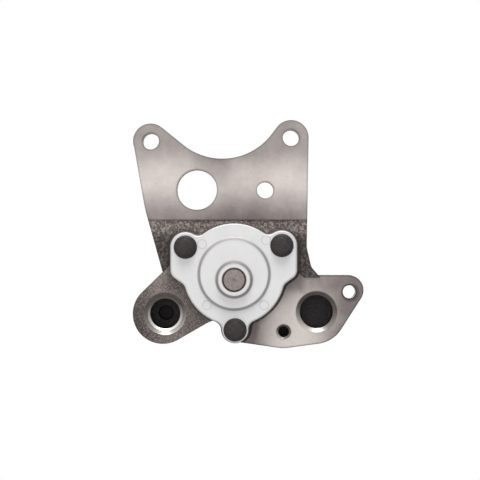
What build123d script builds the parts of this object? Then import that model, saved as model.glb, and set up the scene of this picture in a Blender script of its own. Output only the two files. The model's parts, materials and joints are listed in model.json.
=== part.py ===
from build123d import *
import math
import os

os.makedirs("parts", exist_ok=True)

# Gerotor oil pump of an engine, bolted to the foot of the front main bearing cap.
#
# Frame, in millimetres: the origin is the centre of the idler shaft's bore, in the plane of the
# machined mounting face. X runs to the right as seen from the cover side, Z points up towards the
# crankshaft, and Y runs from the cover side to the gear side. A place is written as (x, z) and a
# depth as y. A name ending in _AT is a place, one ending in _Y is a depth and one in _R a radius.

# Gear train and mounting plate
GEAR_MODULE = 2.5
GEAR_TEETH = 21
IDLER_TEETH = 30
SHAFT_DIRECTION = -67.2
CRANK_AT = (16.8, 61.5)
CRANK_CLEARANCE_R = 41.0
IDLER_BORE_R = 13.25
IDLER_BOSS_R = 19.5
LEFT_EAR_AT = (-30.5, 32.1)
RIGHT_EAR_AT = (62.2, 34.4)
LOW_HOLE_AT = (45.2, -0.2)
EAR_R = 11.6
MOUNTING_HOLE_R = 5.5
LEFT_WAIST_AT = (-34.2, -13.0)
LEFT_SIDE_R = 150.0
LEFT_NOTCH_AT = (-22.6, -54.5)
RIGHT_EDGE_X = 72.6
RIGHT_SHOULDER_Z = -38.0
RIGHT_SHOULDER_R = 14.0
NECK_RISE = 5.5
NECK_WIDTH = 9.0
NECK_R = 6.0
EDGE_STEP = 1.5
PLATE_BACK_Y = 12.0
PAD_HEIGHT = 2.0
PAD_INSET = 1.5
MACHINED_EDGE_Z = -20.0
CAST_SKIN_Y = 0.8

# Rotor chamber and cover
ECCENTRICITY = 3.5
CHAMBER_CLEARANCE = 0.08
ROTOR_HEIGHT = 18.0
JOINT_Y = -14.0
COVER_R = 32.7
COVER_THICKNESS = 8.0
COVER_EDGE_BEVEL = 0.8
FOOT_FLARE = 0.8
BOLT_OUT = 3.3
BOLT_PATTERN_TURN = 1.0
UPPER_LOBE_R = 9.6
BOTTOM_LOBE_R = 8.4
SHOULDER_DROP = 0.5
SHOULDER_SLOPE = 36.0
COVER_CORNER_R = 6.0
BOSS_MARGIN = 0.8
FLANGE_FLARE = 2.5
DISC_R = 23.2
DISC_HEIGHT = 3.0
DISC_SLOPE = 1.4
HUB_R = 11.2
HUB_HEIGHT = 5.0
HUB_SLOPE = 1.0
DOWEL_R = 2.5
DOWEL_LENGTH = 12.0
DOWEL_MARGIN = 2.7
DOWEL_RISE = 5.0
DOWEL_END_GAP = 0.3

# Gerotor set: each outer lobe is a circle, and the inner rotor is the curve that they wrap
INNER_LOBES = 4
LOBE_CIRCLE_R = 25.0
LOBE_R = 9.5
LOBE_CLEARANCE = 0.06
PROFILE_ARCS = 10
PRESS_GAP = 0.01
OUTER_WALL = 5.0
OUTER_ROOT_ROUND = 2.5
FACE_CLEARANCE = 0.04

# Ports in the chamber floor, and the galleries behind them
KIDNEY_TOP = 52.0
KIDNEY_BOTTOM = -70.0
KIDNEY_DEPTH = 10.0
KIDNEY_OUTER_INSET = 0.5
KIDNEY_INNER_INSET = 1.2
KIDNEY_CORNER_R = 1.5
SHADOW_DEPTH = 1.5
GALLERY_WIDTH = 12.0
GALLERY_HEIGHT = 9.0
BODY_BACK_Y = 18.0

# Shaft, its bush and what it carries
SHAFT_R = 7.5
SHAFT_CLEARANCE = 0.05
SHAFT_PROUD = 0.2
SHAFT_BEVEL = 0.5
BUSH_WALL = 2.0
BUSH_INSET = 0.5
BEARING_BOSS_R = 14.0
RIB_WIDTH = 5.0
RIB_HEIGHT = 3.5
BEARING_BACK_Y = 26.0
GEAR_GAP = 1.5
GEAR_WIDTH = 13.0
GEAR_SEAT_R = 7.0
THREAD_R = 6.0
PIN_R = 2.5
PIN_LENGTH = 21.0
PIN_INSET = 0.3
PIN_SLOT_PLAY = 0.3
PIN_SIDE_PLAY = 0.03
KEY_WIDTH = 5.0
KEY_HEIGHT = 5.0
KEY_LENGTH = 10.0
KEY_SIDE_PLAY = 0.05
PRESSURE_ANGLE = 20.0
FLANK_STEPS = 3
ROOT_DEPTH = 1.25
ROOT_FLARE_ANGLE = 1.0
GEAR_RECESS_DEPTH = 3.0
GEAR_HUB_R = 12.5
GEAR_RIM = 3.5
NUT_FLATS = 19.0
NUT_HEIGHT = 8.0
WASHER_R = 12.0
WASHER_THICKNESS = 2.0
WASHER_PLAY = 0.3
THREAD_PROUD = 2.0

# Delivery boss on the left, with the relief valve behind it
DELIVERY_AT = (-20.9, -81.8)
DELIVERY_BOSS_AT = (-22.3, -81.8)
DELIVERY_BOSS_R = 19.8
DELIVERY_FRONT_Y = -3.0
DELIVERY_RIM_ROUND = 2.0
WEB_FLARE = 4.5
WEB_FOOT_DIRECTION = 241.0
WEB_FOOT_SPREAD = 12.0
WEB_FOOT_OUT = 4.0
DELIVERY_BORE_R = 10.0
DELIVERY_STEP_R = 11.6
DELIVERY_MOUTH_R = 14.0
DELIVERY_STEP_DEPTH = 1.5
DELIVERY_STEP_BEVEL = 0.8
RELIEF_BOSS_R = 13.0
RELIEF_SEAT_R = 5.0
RELIEF_BORE_R = 7.0
RELIEF_CLEARANCE = 0.03
RELIEF_BACK_Y = 47.0
PLUNGER_LENGTH = 14.0
PLUNGER_WALL = 1.8
PLUNGER_FLOOR = 3.0
PLUNGER_NOSE = 1.0
PLUNGER_NOSE_TAPER = 0.7
NOSE_PLAY = 0.1
SPRING_WELL = 3.0
SPILL_R = 3.0
SPILL_SETBACK = 1.5
PLUG_R = 9.0
PLUG_FLATS = 22.0
PLUG_HEAD = 6.0
PLUG_REACH = 7.0
SEAL_THICKNESS = 1.5
SEAL_R = 12.5
SEAL_PLAY = 0.1
SPRING_WIRE_R = 0.8
SPRING_TURNS = 6
SPRING_SIDES = 10
SPRING_PLAY = 0.4

# Suction flange on the right
SUCTION_AT = (79.1, -80.7)
SUCTION_BORE_R = 11.0
SUCTION_MOUTH_R = 13.7
FLANGE_FACE_Y = 2.0
FLANGE_THICKNESS = 10.0
PASSAGE_WALL = 4.0
PASSAGE_BEVEL = 2.5
FLANGE_BOLT_SPACING = 50.8
FLANGE_BOLT_TILT = 31.3
FLANGE_TAP_R = 3.4
FLANGE_TAP_MOUTH_R = 5.0
FLANGE_TAP_DEPTH = 13.0
FLANGE_HOLE_R = 4.35
FLANGE_TIP_R = 9.9
FLANGE_TOP_Z = -56.5
FLANGE_TIP_CORNER = (118.4, -56.5)
FLANGE_SIDE_CORNER = (90.2, -100.5)
FLANGE_SIDE_R = 20.7
FLANGE_FOOT_CORNER = (57.0, -105.0)
FLANGE_FOOT_R = 25.0

# Cover bolts
BOLT_R = 3.0
BOLT_CLEARANCE_R = 3.3
BOLT_LENGTH = 20.0
BOLT_FLANGE_R = 7.3
BOLT_FLANGE_HEIGHT = 1.8
BOLT_FLATS = 10.0
BOLT_HEAD_HEIGHT = 6.0
THREAD_GAP = 0.05


# Places and depths worked out from the values above

def polar(radius, degrees):
    """The offset (x, z) at a radius and an angle from the X axis."""
    angle = math.radians(degrees)
    return (radius * math.cos(angle), radius * math.sin(angle))


def moved(place, offset):
    """A place shifted by an offset."""
    return (place[0] + offset[0], place[1] + offset[1])


GEAR_CENTRES = GEAR_MODULE * (GEAR_TEETH + IDLER_TEETH) / 2
REACH = 4 * GEAR_CENTRES
SHAFT_AT = polar(GEAR_CENTRES, SHAFT_DIRECTION)
CHAMBER_AT = moved(SHAFT_AT, (0, ECCENTRICITY))
BOLT_CIRCLE_R = COVER_R + BOLT_OUT
DOWEL_OUT = COVER_R + DOWEL_MARGIN
OUTER_LOBES = INNER_LOBES + 1
INNER_ROOT_R = LOBE_CIRCLE_R - ECCENTRICITY - LOBE_R
OUTER_ROOT_R = LOBE_CIRCLE_R + 2 * ECCENTRICITY - LOBE_R
OUTER_ROTOR_R = OUTER_ROOT_R + OUTER_WALL
ROTOR_FRONT_Y = JOINT_Y + FACE_CLEARANCE
ROTOR_BACK_Y = ROTOR_FRONT_Y + ROTOR_HEIGHT
FLOOR_Y = ROTOR_BACK_Y + FACE_CLEARANCE
COVER_FRONT_Y = JOINT_Y - COVER_THICKNESS
DISC_FRONT_Y = COVER_FRONT_Y - DISC_HEIGHT
HUB_FRONT_Y = DISC_FRONT_Y - HUB_HEIGHT
GALLERY_BACK_Y = FLOOR_Y + KIDNEY_DEPTH
FLANGE_BACK_Y = FLANGE_FACE_Y + FLANGE_THICKNESS
PAD_BACK_Y = PLATE_BACK_Y + PAD_HEIGHT
GEAR_FRONT_Y = BEARING_BACK_Y + GEAR_GAP
GEAR_BACK_Y = GEAR_FRONT_Y + GEAR_WIDTH
GEAR_ROOT_R = GEAR_MODULE * (GEAR_TEETH / 2 - ROOT_DEPTH)
NUT_FRONT_Y = GEAR_BACK_Y + WASHER_THICKNESS
NUT_BACK_Y = NUT_FRONT_Y + NUT_HEIGHT
UPPER_BOLT_ANGLES = (30 + BOLT_PATTERN_TURN, 150 + BOLT_PATTERN_TURN)
BOTTOM_BOLT_ANGLE = 270 + BOLT_PATTERN_TURN
HALF_FLANGE = polar(FLANGE_BOLT_SPACING / 2, FLANGE_BOLT_TILT)
FLANGE_HOLE_AT = moved(SUCTION_AT, HALF_FLANGE)
FLANGE_TAP_AT = moved(SUCTION_AT, (-HALF_FLANGE[0], -HALF_FLANGE[1]))
PLUNGER_FRONT_Y = BODY_BACK_Y
PLUG_FRONT_Y = RELIEF_BACK_Y - PLUG_REACH


# Ways of making a form

def at_y(y):
    """The drawing plane at depth y, with x to the right and z up."""
    return Plane.XZ.offset(-y)


def slab(outline, y_front, y_back):
    """A flat outline made solid between two depths."""
    return extrude(at_y(y_back) * outline, amount=y_back - y_front)


def disc(radius, place):
    """A flat circle at a place."""
    return Pos(*place) * Circle(radius)


def rod(radius, place, y_front, y_back):
    """A round bar between two depths."""
    return slab(disc(radius, place), y_front, y_back)


def taper(radius_front, radius_back, place, y_front, y_back):
    """A round taper between two depths."""
    upright = (Align.CENTER, Align.CENTER, Align.MIN)
    cone = Cone(radius_back, radius_front, y_back - y_front, align=upright)
    return at_y(y_back) * Pos(*place) * cone


def turned(place, stations):
    """A turned piece: its stations are (y, radius) pairs from front to back."""
    points = [(0, stations[0][0])]
    points += [(radius, y) for y, radius in stations]
    points += [(0, stations[-1][0])]
    half = make_face(Polyline(*points, close=True))
    return Pos(place[0], 0, place[1]) * revolve(half, Axis.Y)


def hexagon(flats, place, y_front, y_back):
    """A hexagonal bar, measured across its flats."""
    outline = RegularPolygon(flats / 2, 6, major_radius=False)
    return slab(Pos(*place) * outline, y_front, y_back)


def rounded(corners):
    """A closed outline of straight lines: each corner is (x, z, radius of its tangent arc)."""
    edges = []
    ends = []
    for i, (x, z, radius) in enumerate(corners):
        corner = Vector(x, z)
        before = Vector(*corners[i - 1][:2]) - corner
        after = Vector(*corners[(i + 1) % len(corners)][:2]) - corner
        if radius == 0:
            ends.append((corner, corner))
            continue
        half = math.radians(before.get_angle(after)) / 2
        middle = (before.normalized() + after.normalized()).normalized()
        start = corner + before.normalized() * (radius / math.tan(half))
        finish = corner + after.normalized() * (radius / math.tan(half))
        crown = corner + middle * (radius / math.sin(half) - radius)
        edges.append(ThreePointArc(start, crown, finish))
        ends.append((start, finish))
    for (_, leaving), (arriving, _) in zip(ends, ends[1:] + ends[:1]):
        edges.append(Line(leaving, arriving))
    return make_face(edges)


def sharp_corners(outline):
    """The corners of an outline at which it turns by more than a few degrees."""
    found = []
    for vertex in outline.vertices():
        point = Vector(vertex)
        ways = []
        for edge in outline.edges():
            for end in (0, 1):
                if (edge.position_at(end) - point).length < 1e-4:
                    ways.append(edge.tangent_at(end) * (1 - 2 * end))
        if len(ways) == 2 and ways[0].get_angle(ways[1]) < 175:
            found.append(vertex)
    return found


def softened(outline, radius):
    """An outline with its sharp corners rounded, inside corners and outside ones alike."""
    return fillet(sharp_corners(outline), radius)


# Outlines

def between_circles(convex_at, convex_r, hollow_at, hollow_r, side):
    """Where the straight that leaves a round ear touches it, and where it joins the hollow arc."""
    across = Vector(*hollow_at) - Vector(*convex_at)
    lean = math.degrees(math.asin(min(1, (convex_r + hollow_r) / across.length)))
    way = math.degrees(math.atan2(across.Y, across.X)) - side * lean
    off = moved(convex_at, polar(convex_r, way + side * 90))
    onto = moved(hollow_at, polar(hollow_r, way - side * 90))
    return off, onto


def plate_outline():
    """The upper plate: two ears beside the crankshaft's clearance, and the sides down to the body."""
    left_off, left_onto = between_circles(LEFT_EAR_AT, EAR_R, CRANK_AT, CRANK_CLEARANCE_R, 1)
    right_off, right_onto = between_circles(RIGHT_EAR_AT, EAR_R, CRANK_AT, CRANK_CLEARANCE_R, -1)
    chamber_side = CHAMBER_AT[0] + COVER_R
    foot_z = FLANGE_TOP_Z - EDGE_STEP
    corners = [
        (RIGHT_EAR_AT[0] + EAR_R, RIGHT_EAR_AT[1], 0),
        (*right_off, 0),
        (*right_onto, 0),
        (*left_onto, 0),
        (*left_off, 0),
        (LEFT_EAR_AT[0] - EAR_R, LEFT_EAR_AT[1], 0),
        (*LEFT_WAIST_AT, LEFT_SIDE_R),
        (*LEFT_NOTCH_AT, 0),
        (*SHAFT_AT, 0),
        (chamber_side, CHAMBER_AT[1] + UPPER_LOBE_R, 0),
        (RIGHT_EDGE_X - EDGE_STEP, foot_z, 0),
        (RIGHT_EDGE_X + NECK_WIDTH, foot_z, 0),
        (RIGHT_EDGE_X + NECK_WIDTH / 3, FLANGE_TOP_Z + NECK_RISE, NECK_R),
        (RIGHT_EDGE_X, RIGHT_SHOULDER_Z, RIGHT_SHOULDER_R),
    ]
    ears = disc(EAR_R, LEFT_EAR_AT) + disc(EAR_R, RIGHT_EAR_AT)
    return rounded(corners) + ears - disc(CRANK_CLEARANCE_R, CRANK_AT)


def cover_outline(margin=0, bottom_margin=0):
    """The cover, about the chamber's centre: a circle with three bolt lobes and square shoulders.

    The body's wall under it is the same outline, grown by a margin.
    """
    outline = Circle(COVER_R + margin)
    lobe_r = UPPER_LOBE_R + margin
    for angle in UPPER_BOLT_ANGLES:
        bolt = polar(BOLT_CIRCLE_R, angle)
        side = math.copysign(abs(bolt[0]) + lobe_r, bolt[0])
        fall = abs(side) / 2 * math.tan(math.radians(SHOULDER_SLOPE))
        foot = -SHOULDER_DROP - margin / 2
        shoulder = [(side, bolt[1]), (side, foot), (side / 2, foot - fall), (0, 0)]
        outline += make_face(Polyline(*shoulder, close=True)) + disc(lobe_r, bolt)
    outline += disc(BOTTOM_LOBE_R + bottom_margin, polar(BOLT_CIRCLE_R, BOTTOM_BOLT_ANGLE))
    return softened(outline, COVER_CORNER_R)


def flange_outline():
    """The two-bolt suction flange, from under the chamber and the plate out to its tip."""
    foot = moved(CHAMBER_AT, polar(BOLT_CIRCLE_R + BOTTOM_LOBE_R, BOTTOM_BOLT_ANGLE))
    under_plate = RIGHT_EDGE_X - EDGE_STEP
    corners = [
        (foot[0], foot[1] - BOSS_MARGIN, 0),
        (*FLANGE_FOOT_CORNER, FLANGE_FOOT_R),
        (*FLANGE_SIDE_CORNER, FLANGE_SIDE_R),
        (*FLANGE_TIP_CORNER, FLANGE_TIP_R),
        (under_plate, FLANGE_TOP_Z, 0),
        (under_plate, RIGHT_SHOULDER_Z, 0),
        (CHAMBER_AT[0], RIGHT_SHOULDER_Z, 0),
    ]
    return rounded(corners)


def delivery_web_outline():
    """The web that carries the delivery boss: two sides that touch the boss and reach the chamber."""
    chamber_r = COVER_R + BOSS_MARGIN
    across = Vector(*CHAMBER_AT) - Vector(*DELIVERY_BOSS_AT)
    way = math.degrees(math.atan2(across.Y, across.X))
    lean = math.degrees(math.asin((chamber_r - DELIVERY_BOSS_R) / across.length))
    foot = moved(CHAMBER_AT, polar(chamber_r + WEB_FOOT_OUT, WEB_FOOT_DIRECTION))
    reach = Vector(*foot) - Vector(*DELIVERY_BOSS_AT)
    spread = math.degrees(math.acos(DELIVERY_BOSS_R / reach.length))
    below = math.degrees(math.atan2(reach.Y, reach.X)) - spread
    corners = [
        moved(DELIVERY_BOSS_AT, polar(DELIVERY_BOSS_R, way + lean + 90)),
        moved(DELIVERY_BOSS_AT, polar(DELIVERY_BOSS_R, below)),
        foot,
        moved(CHAMBER_AT, polar(chamber_r - WEB_FOOT_OUT, WEB_FOOT_DIRECTION + WEB_FOOT_SPREAD)),
        CHAMBER_AT,
        moved(CHAMBER_AT, polar(chamber_r, way + lean + 90)),
    ]
    return make_face(Polyline(*corners, close=True)) + disc(DELIVERY_BOSS_R, DELIVERY_BOSS_AT)


def kidney(side):
    """One port in the chamber's end face: side is 1 for suction and -1 for delivery."""
    ring = disc(OUTER_ROOT_R - KIDNEY_OUTER_INSET, CHAMBER_AT)
    ring -= disc(INNER_ROOT_R + KIDNEY_INNER_INSET, SHAFT_AT)
    reach = 2 * OUTER_ROTOR_R
    middle = (KIDNEY_TOP + KIDNEY_BOTTOM) / 2
    points = [(0, 0)]
    for angle in (KIDNEY_BOTTOM, middle, KIDNEY_TOP):
        x, z = polar(reach, angle)
        points.append((side * x, z))
    sector = Pos(*CHAMBER_AT) * make_face(Polyline(*points, close=True))
    return softened(ring & sector, KIDNEY_CORNER_R)


def gallery(place, side, margin=0):
    """The cast way, seen from the front, from a kidney to a port, grown by a margin."""
    start = moved(SHAFT_AT, (side * (LOBE_CIRCLE_R - LOBE_R + GALLERY_WIDTH / 4), 0))
    run = Vector(*place) - Vector(*start)
    middle = (Vector(*place) + Vector(*start)) / 2
    slot = SlotCenterToCenter(run.length, GALLERY_WIDTH + 2 * margin)
    return Pos(middle.X, middle.Y) * Rot(0, 0, math.degrees(math.atan2(run.Y, run.X))) * slot


# Pump body

def chamber_wall(ground_y, flare, footprint):
    """The chamber's straight wall, flared where it runs into a face, and kept over its footprint."""
    outline = Pos(*CHAMBER_AT) * cover_outline(BOSS_MARGIN, BOSS_MARGIN)
    wall = slab(outline, JOINT_Y, ground_y)
    wall += rod(REACH, CHAMBER_AT, ground_y, PLATE_BACK_Y)
    at_ground = wall.edges().filter_by_position(Axis.Y, ground_y, ground_y)
    root = [edge for edge in at_ground if edge.length < REACH]
    return fillet(root, flare) & slab(footprint + outline, JOINT_Y, PLATE_BACK_Y)


def delivery_web():
    """The delivery boss and its web, with a rounded rim."""
    web = slab(delivery_web_outline(), DELIVERY_FRONT_Y, BODY_BACK_Y)
    outside = []
    for edge in web.faces().sort_by(Axis.Y)[0].edges():
        middle = edge.center()
        if math.dist((middle.X, middle.Z), CHAMBER_AT) > COVER_R:
            outside.append(edge)
    return fillet(outside, DELIVERY_RIM_ROUND)


def passages():
    """What stands out behind: the chamber's back, the suction passage and the tapped hole's boss."""
    outline = disc(COVER_R + BOSS_MARGIN, CHAMBER_AT) + gallery(SUCTION_AT, 1, PASSAGE_WALL)
    outline += disc(SUCTION_BORE_R + PASSAGE_WALL, SUCTION_AT)
    walls = slab(outline, FLOOR_Y, BODY_BACK_Y)
    walls = chamfer(walls.faces().sort_by(Axis.Y)[-1].edges(), PASSAGE_BEVEL)
    return walls + rod(FLANGE_TAP_R + PASSAGE_WALL, FLANGE_TAP_AT, FLOOR_Y, BODY_BACK_Y)


def rib(start, finish):
    """A straight rib on the plate's back, between two places."""
    run = Vector(*finish) - Vector(*start)
    middle = (Vector(*finish) + Vector(*start)) / 2
    turn = math.degrees(math.atan2(run.Y, run.X))
    bar = Pos(middle.X, middle.Y) * Rot(0, 0, turn) * Rectangle(run.length, RIB_WIDTH)
    return slab(bar, CAST_SKIN_Y, PLATE_BACK_Y + RIB_HEIGHT)


def pads():
    """The rear pads' places and radii: round the idler bore and the three mounting holes."""
    rear = [((0, 0), IDLER_BOSS_R)]
    rear += [(place, EAR_R - PAD_INSET) for place in (LEFT_EAR_AT, RIGHT_EAR_AT, LOW_HOLE_AT)]
    return rear


def body_casting():
    """The casting before it is bored: plate, chamber boss, delivery boss, flange and bearing boss."""
    plate = plate_outline()
    flange = flange_outline()
    casting = slab(plate, CAST_SKIN_Y, PLATE_BACK_Y)
    above = Pos(0, MACHINED_EDGE_Z) * Rectangle(REACH, REACH, align=(Align.CENTER, Align.MIN))
    casting += slab(plate & above, 0, CAST_SKIN_Y)
    casting += slab(flange, FLANGE_FACE_Y, FLANGE_BACK_Y)
    casting += chamber_wall(FLANGE_FACE_Y, FLANGE_FLARE, flange)
    casting += chamber_wall(CAST_SKIN_Y, FLANGE_FLARE, plate)
    casting += chamber_wall(DELIVERY_FRONT_Y, WEB_FLARE, delivery_web_outline())
    casting += delivery_web()
    casting += rib(SHAFT_AT, (0, 0)) + rib((0, 0), LEFT_EAR_AT)
    casting += rib(SHAFT_AT, LOW_HOLE_AT) + rib(LOW_HOLE_AT, RIGHT_EAR_AT)
    for place, radius in pads():
        casting += rod(radius, place, CAST_SKIN_Y, PAD_BACK_Y)
        casting -= rod(radius, place, PAD_BACK_Y, PLATE_BACK_Y + RIB_HEIGHT)
    casting += passages()
    casting += rod(RELIEF_BOSS_R, DELIVERY_AT, FLOOR_Y, RELIEF_BACK_Y)
    casting += rod(BEARING_BOSS_R, SHAFT_AT, FLOOR_Y, BEARING_BACK_Y)
    return casting


def pump_body():
    body = body_casting()
    body -= rod(IDLER_BORE_R, (0, 0), 0, PAD_BACK_Y)
    for place in (LEFT_EAR_AT, RIGHT_EAR_AT, LOW_HOLE_AT):
        body -= rod(MOUNTING_HOLE_R, place, 0, PAD_BACK_Y)
    body -= rod(OUTER_ROTOR_R + CHAMBER_CLEARANCE, CHAMBER_AT, JOINT_Y, FLOOR_Y)
    body -= rod(SHAFT_R + BUSH_WALL, SHAFT_AT, FLOOR_Y, BEARING_BACK_Y)
    for side, place in ((1, SUCTION_AT), (-1, DELIVERY_AT)):
        body -= slab(kidney(side), FLOOR_Y, GALLERY_BACK_Y)
        body -= slab(gallery(place, side), GALLERY_BACK_Y - GALLERY_HEIGHT, GALLERY_BACK_Y)
    for angle in (*UPPER_BOLT_ANGLES, BOTTOM_BOLT_ANGLE):
        place = moved(CHAMBER_AT, polar(BOLT_CIRCLE_R, angle))
        body -= rod(BOLT_R, place, JOINT_Y, COVER_FRONT_Y + BOLT_LENGTH + BOLT_R)
    for side in (1, -1):
        place = moved(CHAMBER_AT, (side * DOWEL_OUT, DOWEL_RISE))
        body -= rod(DOWEL_R, place, JOINT_Y, JOINT_Y + DOWEL_LENGTH / 2)
    body -= suction_bores()
    body -= delivery_bores()
    return body


def suction_bores():
    """The suction port with its mouth chamfer, and the flange's tapped and clear holes."""
    mouth = SUCTION_MOUTH_R - SUCTION_BORE_R
    bores = rod(SUCTION_BORE_R, SUCTION_AT, FLANGE_FACE_Y, GALLERY_BACK_Y)
    bores += taper(SUCTION_MOUTH_R, SUCTION_BORE_R, SUCTION_AT, FLANGE_FACE_Y, FLANGE_FACE_Y + mouth)
    tap_mouth = FLANGE_TAP_MOUTH_R - FLANGE_TAP_R
    front = FLANGE_FACE_Y
    bores += rod(FLANGE_TAP_R, FLANGE_TAP_AT, front, front + FLANGE_TAP_DEPTH)
    bores += taper(FLANGE_TAP_MOUTH_R, FLANGE_TAP_R, FLANGE_TAP_AT, front, front + tap_mouth)
    bores += rod(FLANGE_HOLE_R, FLANGE_HOLE_AT, front, FLANGE_BACK_Y)
    return bores


def delivery_bores():
    """The stepped delivery port, the relief valve's seat, its bore and the spill hole."""
    front = DELIVERY_FRONT_Y
    mouth = DELIVERY_MOUTH_R - DELIVERY_STEP_R
    step = front + mouth + DELIVERY_STEP_DEPTH
    stations = [
        (front, DELIVERY_MOUTH_R),
        (front + mouth, DELIVERY_STEP_R),
        (step, DELIVERY_STEP_R),
        (step + DELIVERY_STEP_BEVEL, DELIVERY_BORE_R),
        (GALLERY_BACK_Y, DELIVERY_BORE_R),
        (GALLERY_BACK_Y, RELIEF_SEAT_R),
        (BODY_BACK_Y, RELIEF_SEAT_R),
        (BODY_BACK_Y, RELIEF_BORE_R),
        (PLUG_FRONT_Y, RELIEF_BORE_R),
        (PLUG_FRONT_Y, PLUG_R),
        (RELIEF_BACK_Y, PLUG_R),
    ]
    spill_y = PLUNGER_FRONT_Y + SPILL_R + SPILL_SETBACK
    spill = Cylinder(SPILL_R, RELIEF_BOSS_R + SPILL_R, align=(Align.CENTER, Align.CENTER, Align.MAX))
    return turned(DELIVERY_AT, stations) + Pos(DELIVERY_AT[0], spill_y, DELIVERY_AT[1]) * spill


# Cover, bolts and dowels

def front_cover():
    cover = slab(Pos(*CHAMBER_AT) * cover_outline(), COVER_FRONT_Y, JOINT_Y)
    cover = chamfer(cover.faces().sort_by(Axis.Y)[0].edges(), COVER_EDGE_BEVEL)
    for place, radius, slope, front, foot in (
        (CHAMBER_AT, DISC_R, DISC_SLOPE, DISC_FRONT_Y, COVER_FRONT_Y),
        (SHAFT_AT, HUB_R, HUB_SLOPE, HUB_FRONT_Y, DISC_FRONT_Y),
    ):
        cover += taper(radius - slope, radius, place, front, foot)
        cover += taper(radius - slope / 2, radius + FOOT_FLARE, place, foot - FOOT_FLARE, foot)
    cover -= rod(SHAFT_R + SHAFT_CLEARANCE, SHAFT_AT, HUB_FRONT_Y, JOINT_Y)
    for angle in (*UPPER_BOLT_ANGLES, BOTTOM_BOLT_ANGLE):
        place = moved(CHAMBER_AT, polar(BOLT_CIRCLE_R, angle))
        cover -= rod(BOLT_CLEARANCE_R, place, COVER_FRONT_Y, JOINT_Y)
    for side in (1, -1):
        cover -= slab(kidney(side), JOINT_Y - SHADOW_DEPTH, JOINT_Y)
        place = moved(CHAMBER_AT, (side * DOWEL_OUT, DOWEL_RISE))
        cover -= rod(DOWEL_R, place, JOINT_Y - DOWEL_LENGTH / 2, JOINT_Y)
    return cover


def cover_bolt(angle):
    """A hexagon bolt with a round flange under its head."""
    place = moved(CHAMBER_AT, polar(BOLT_CIRCLE_R, angle))
    top = COVER_FRONT_Y - BOLT_HEAD_HEIGHT
    stations = [
        (COVER_FRONT_Y - BOLT_FLANGE_HEIGHT, BOLT_FLANGE_R),
        (COVER_FRONT_Y, BOLT_FLANGE_R),
        (COVER_FRONT_Y, BOLT_R - THREAD_GAP),
        (COVER_FRONT_Y + BOLT_LENGTH, BOLT_R - THREAD_GAP),
    ]
    return hexagon(BOLT_FLATS, place, top, COVER_FRONT_Y) + turned(place, stations)


def dowel(side):
    place = moved(CHAMBER_AT, (side * DOWEL_OUT, DOWEL_RISE))
    half = DOWEL_LENGTH / 2 - DOWEL_END_GAP
    return rod(DOWEL_R, place, JOINT_Y - half, JOINT_Y + half)


# Rotors

def inner_profile_point(degrees):
    """A point of the inner rotor: the lobe circle's centre, stepped back square to its path."""
    k = OUTER_LOBES
    centre = moved(polar(LOBE_CIRCLE_R, degrees), polar(ECCENTRICITY, k * degrees))
    along = Vector(*moved(polar(LOBE_CIRCLE_R, degrees), polar(k * ECCENTRICITY, k * degrees)))
    return Vector(*centre) - along.normalized() * (LOBE_R + LOBE_CLEARANCE)


def inner_rotor():
    """The driving rotor: its curve is a chain of arcs, each through three points of the profile."""
    step = 360 / INNER_LOBES / PROFILE_ARCS
    edges = []
    for arc in range(INNER_LOBES * PROFILE_ARCS):
        ends = [inner_profile_point((arc + share) * step) for share in (0, 0.5, 1)]
        edges.append(ThreePointArc(*ends))
    outline = Pos(*SHAFT_AT) * Rot(0, 0, 90) * make_face(edges)
    rotor = slab(outline, ROTOR_FRONT_Y, ROTOR_BACK_Y)
    rotor -= rod(SHAFT_R + PRESS_GAP, SHAFT_AT, ROTOR_FRONT_Y, ROTOR_BACK_Y)
    width = 2 * (PIN_R + PIN_SIDE_PLAY)
    slot = Pos(*SHAFT_AT) * Rectangle(PIN_LENGTH + 2 * PIN_SLOT_PLAY, width)
    rotor -= slab(slot, ROTOR_BACK_Y - 2 * PIN_R - PIN_INSET - PIN_SLOT_PLAY, ROTOR_BACK_Y)
    return rotor


def outer_rotor():
    """The driven ring: five round lobes facing inward."""
    ring = Circle(OUTER_ROOT_R + LOBE_CLEARANCE)
    for lobe in range(OUTER_LOBES):
        ring -= disc(LOBE_R, polar(LOBE_CIRCLE_R, 90 + lobe * 360 / OUTER_LOBES))
    opening = softened(ring, OUTER_ROOT_ROUND)
    outline = Pos(*CHAMBER_AT) * (Circle(OUTER_ROTOR_R) - opening)
    return slab(outline, ROTOR_FRONT_Y, ROTOR_BACK_Y)


# Shaft, bush, pin, gear, key, washer and nut

def key_box(play):
    """The room of the key, grown by a play on its sides."""
    top = GEAR_SEAT_R + KEY_HEIGHT / 2 + play
    bottom = GEAR_SEAT_R - KEY_HEIGHT / 2
    block = Rectangle(KEY_WIDTH + 2 * play, top - bottom, align=(Align.CENTER, Align.MIN))
    return Pos(SHAFT_AT[0], SHAFT_AT[1] + bottom) * block


def key_ends():
    """The depths of the key's two ends."""
    middle = (GEAR_FRONT_Y + GEAR_BACK_Y) / 2
    return middle - KEY_LENGTH / 2, middle + KEY_LENGTH / 2


def drive_shaft():
    front = HUB_FRONT_Y - SHAFT_PROUD
    stations = [
        (front, SHAFT_R - SHAFT_BEVEL),
        (front + SHAFT_BEVEL, SHAFT_R),
        (GEAR_FRONT_Y, SHAFT_R),
        (GEAR_FRONT_Y, GEAR_SEAT_R),
        (GEAR_BACK_Y - SHAFT_BEVEL, GEAR_SEAT_R),
        (GEAR_BACK_Y - SHAFT_BEVEL, THREAD_R),
        (NUT_BACK_Y + THREAD_PROUD, THREAD_R),
    ]
    shaft = turned(SHAFT_AT, stations)
    shaft -= rotor_drive_pin()
    shaft -= slab(key_box(0), *key_ends())
    return shaft


def rotor_drive_pin():
    bar = Cylinder(PIN_R, PIN_LENGTH, rotation=(0, 90, 0))
    return Pos(SHAFT_AT[0], ROTOR_BACK_Y - PIN_INSET - PIN_R, SHAFT_AT[1]) * bar


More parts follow.
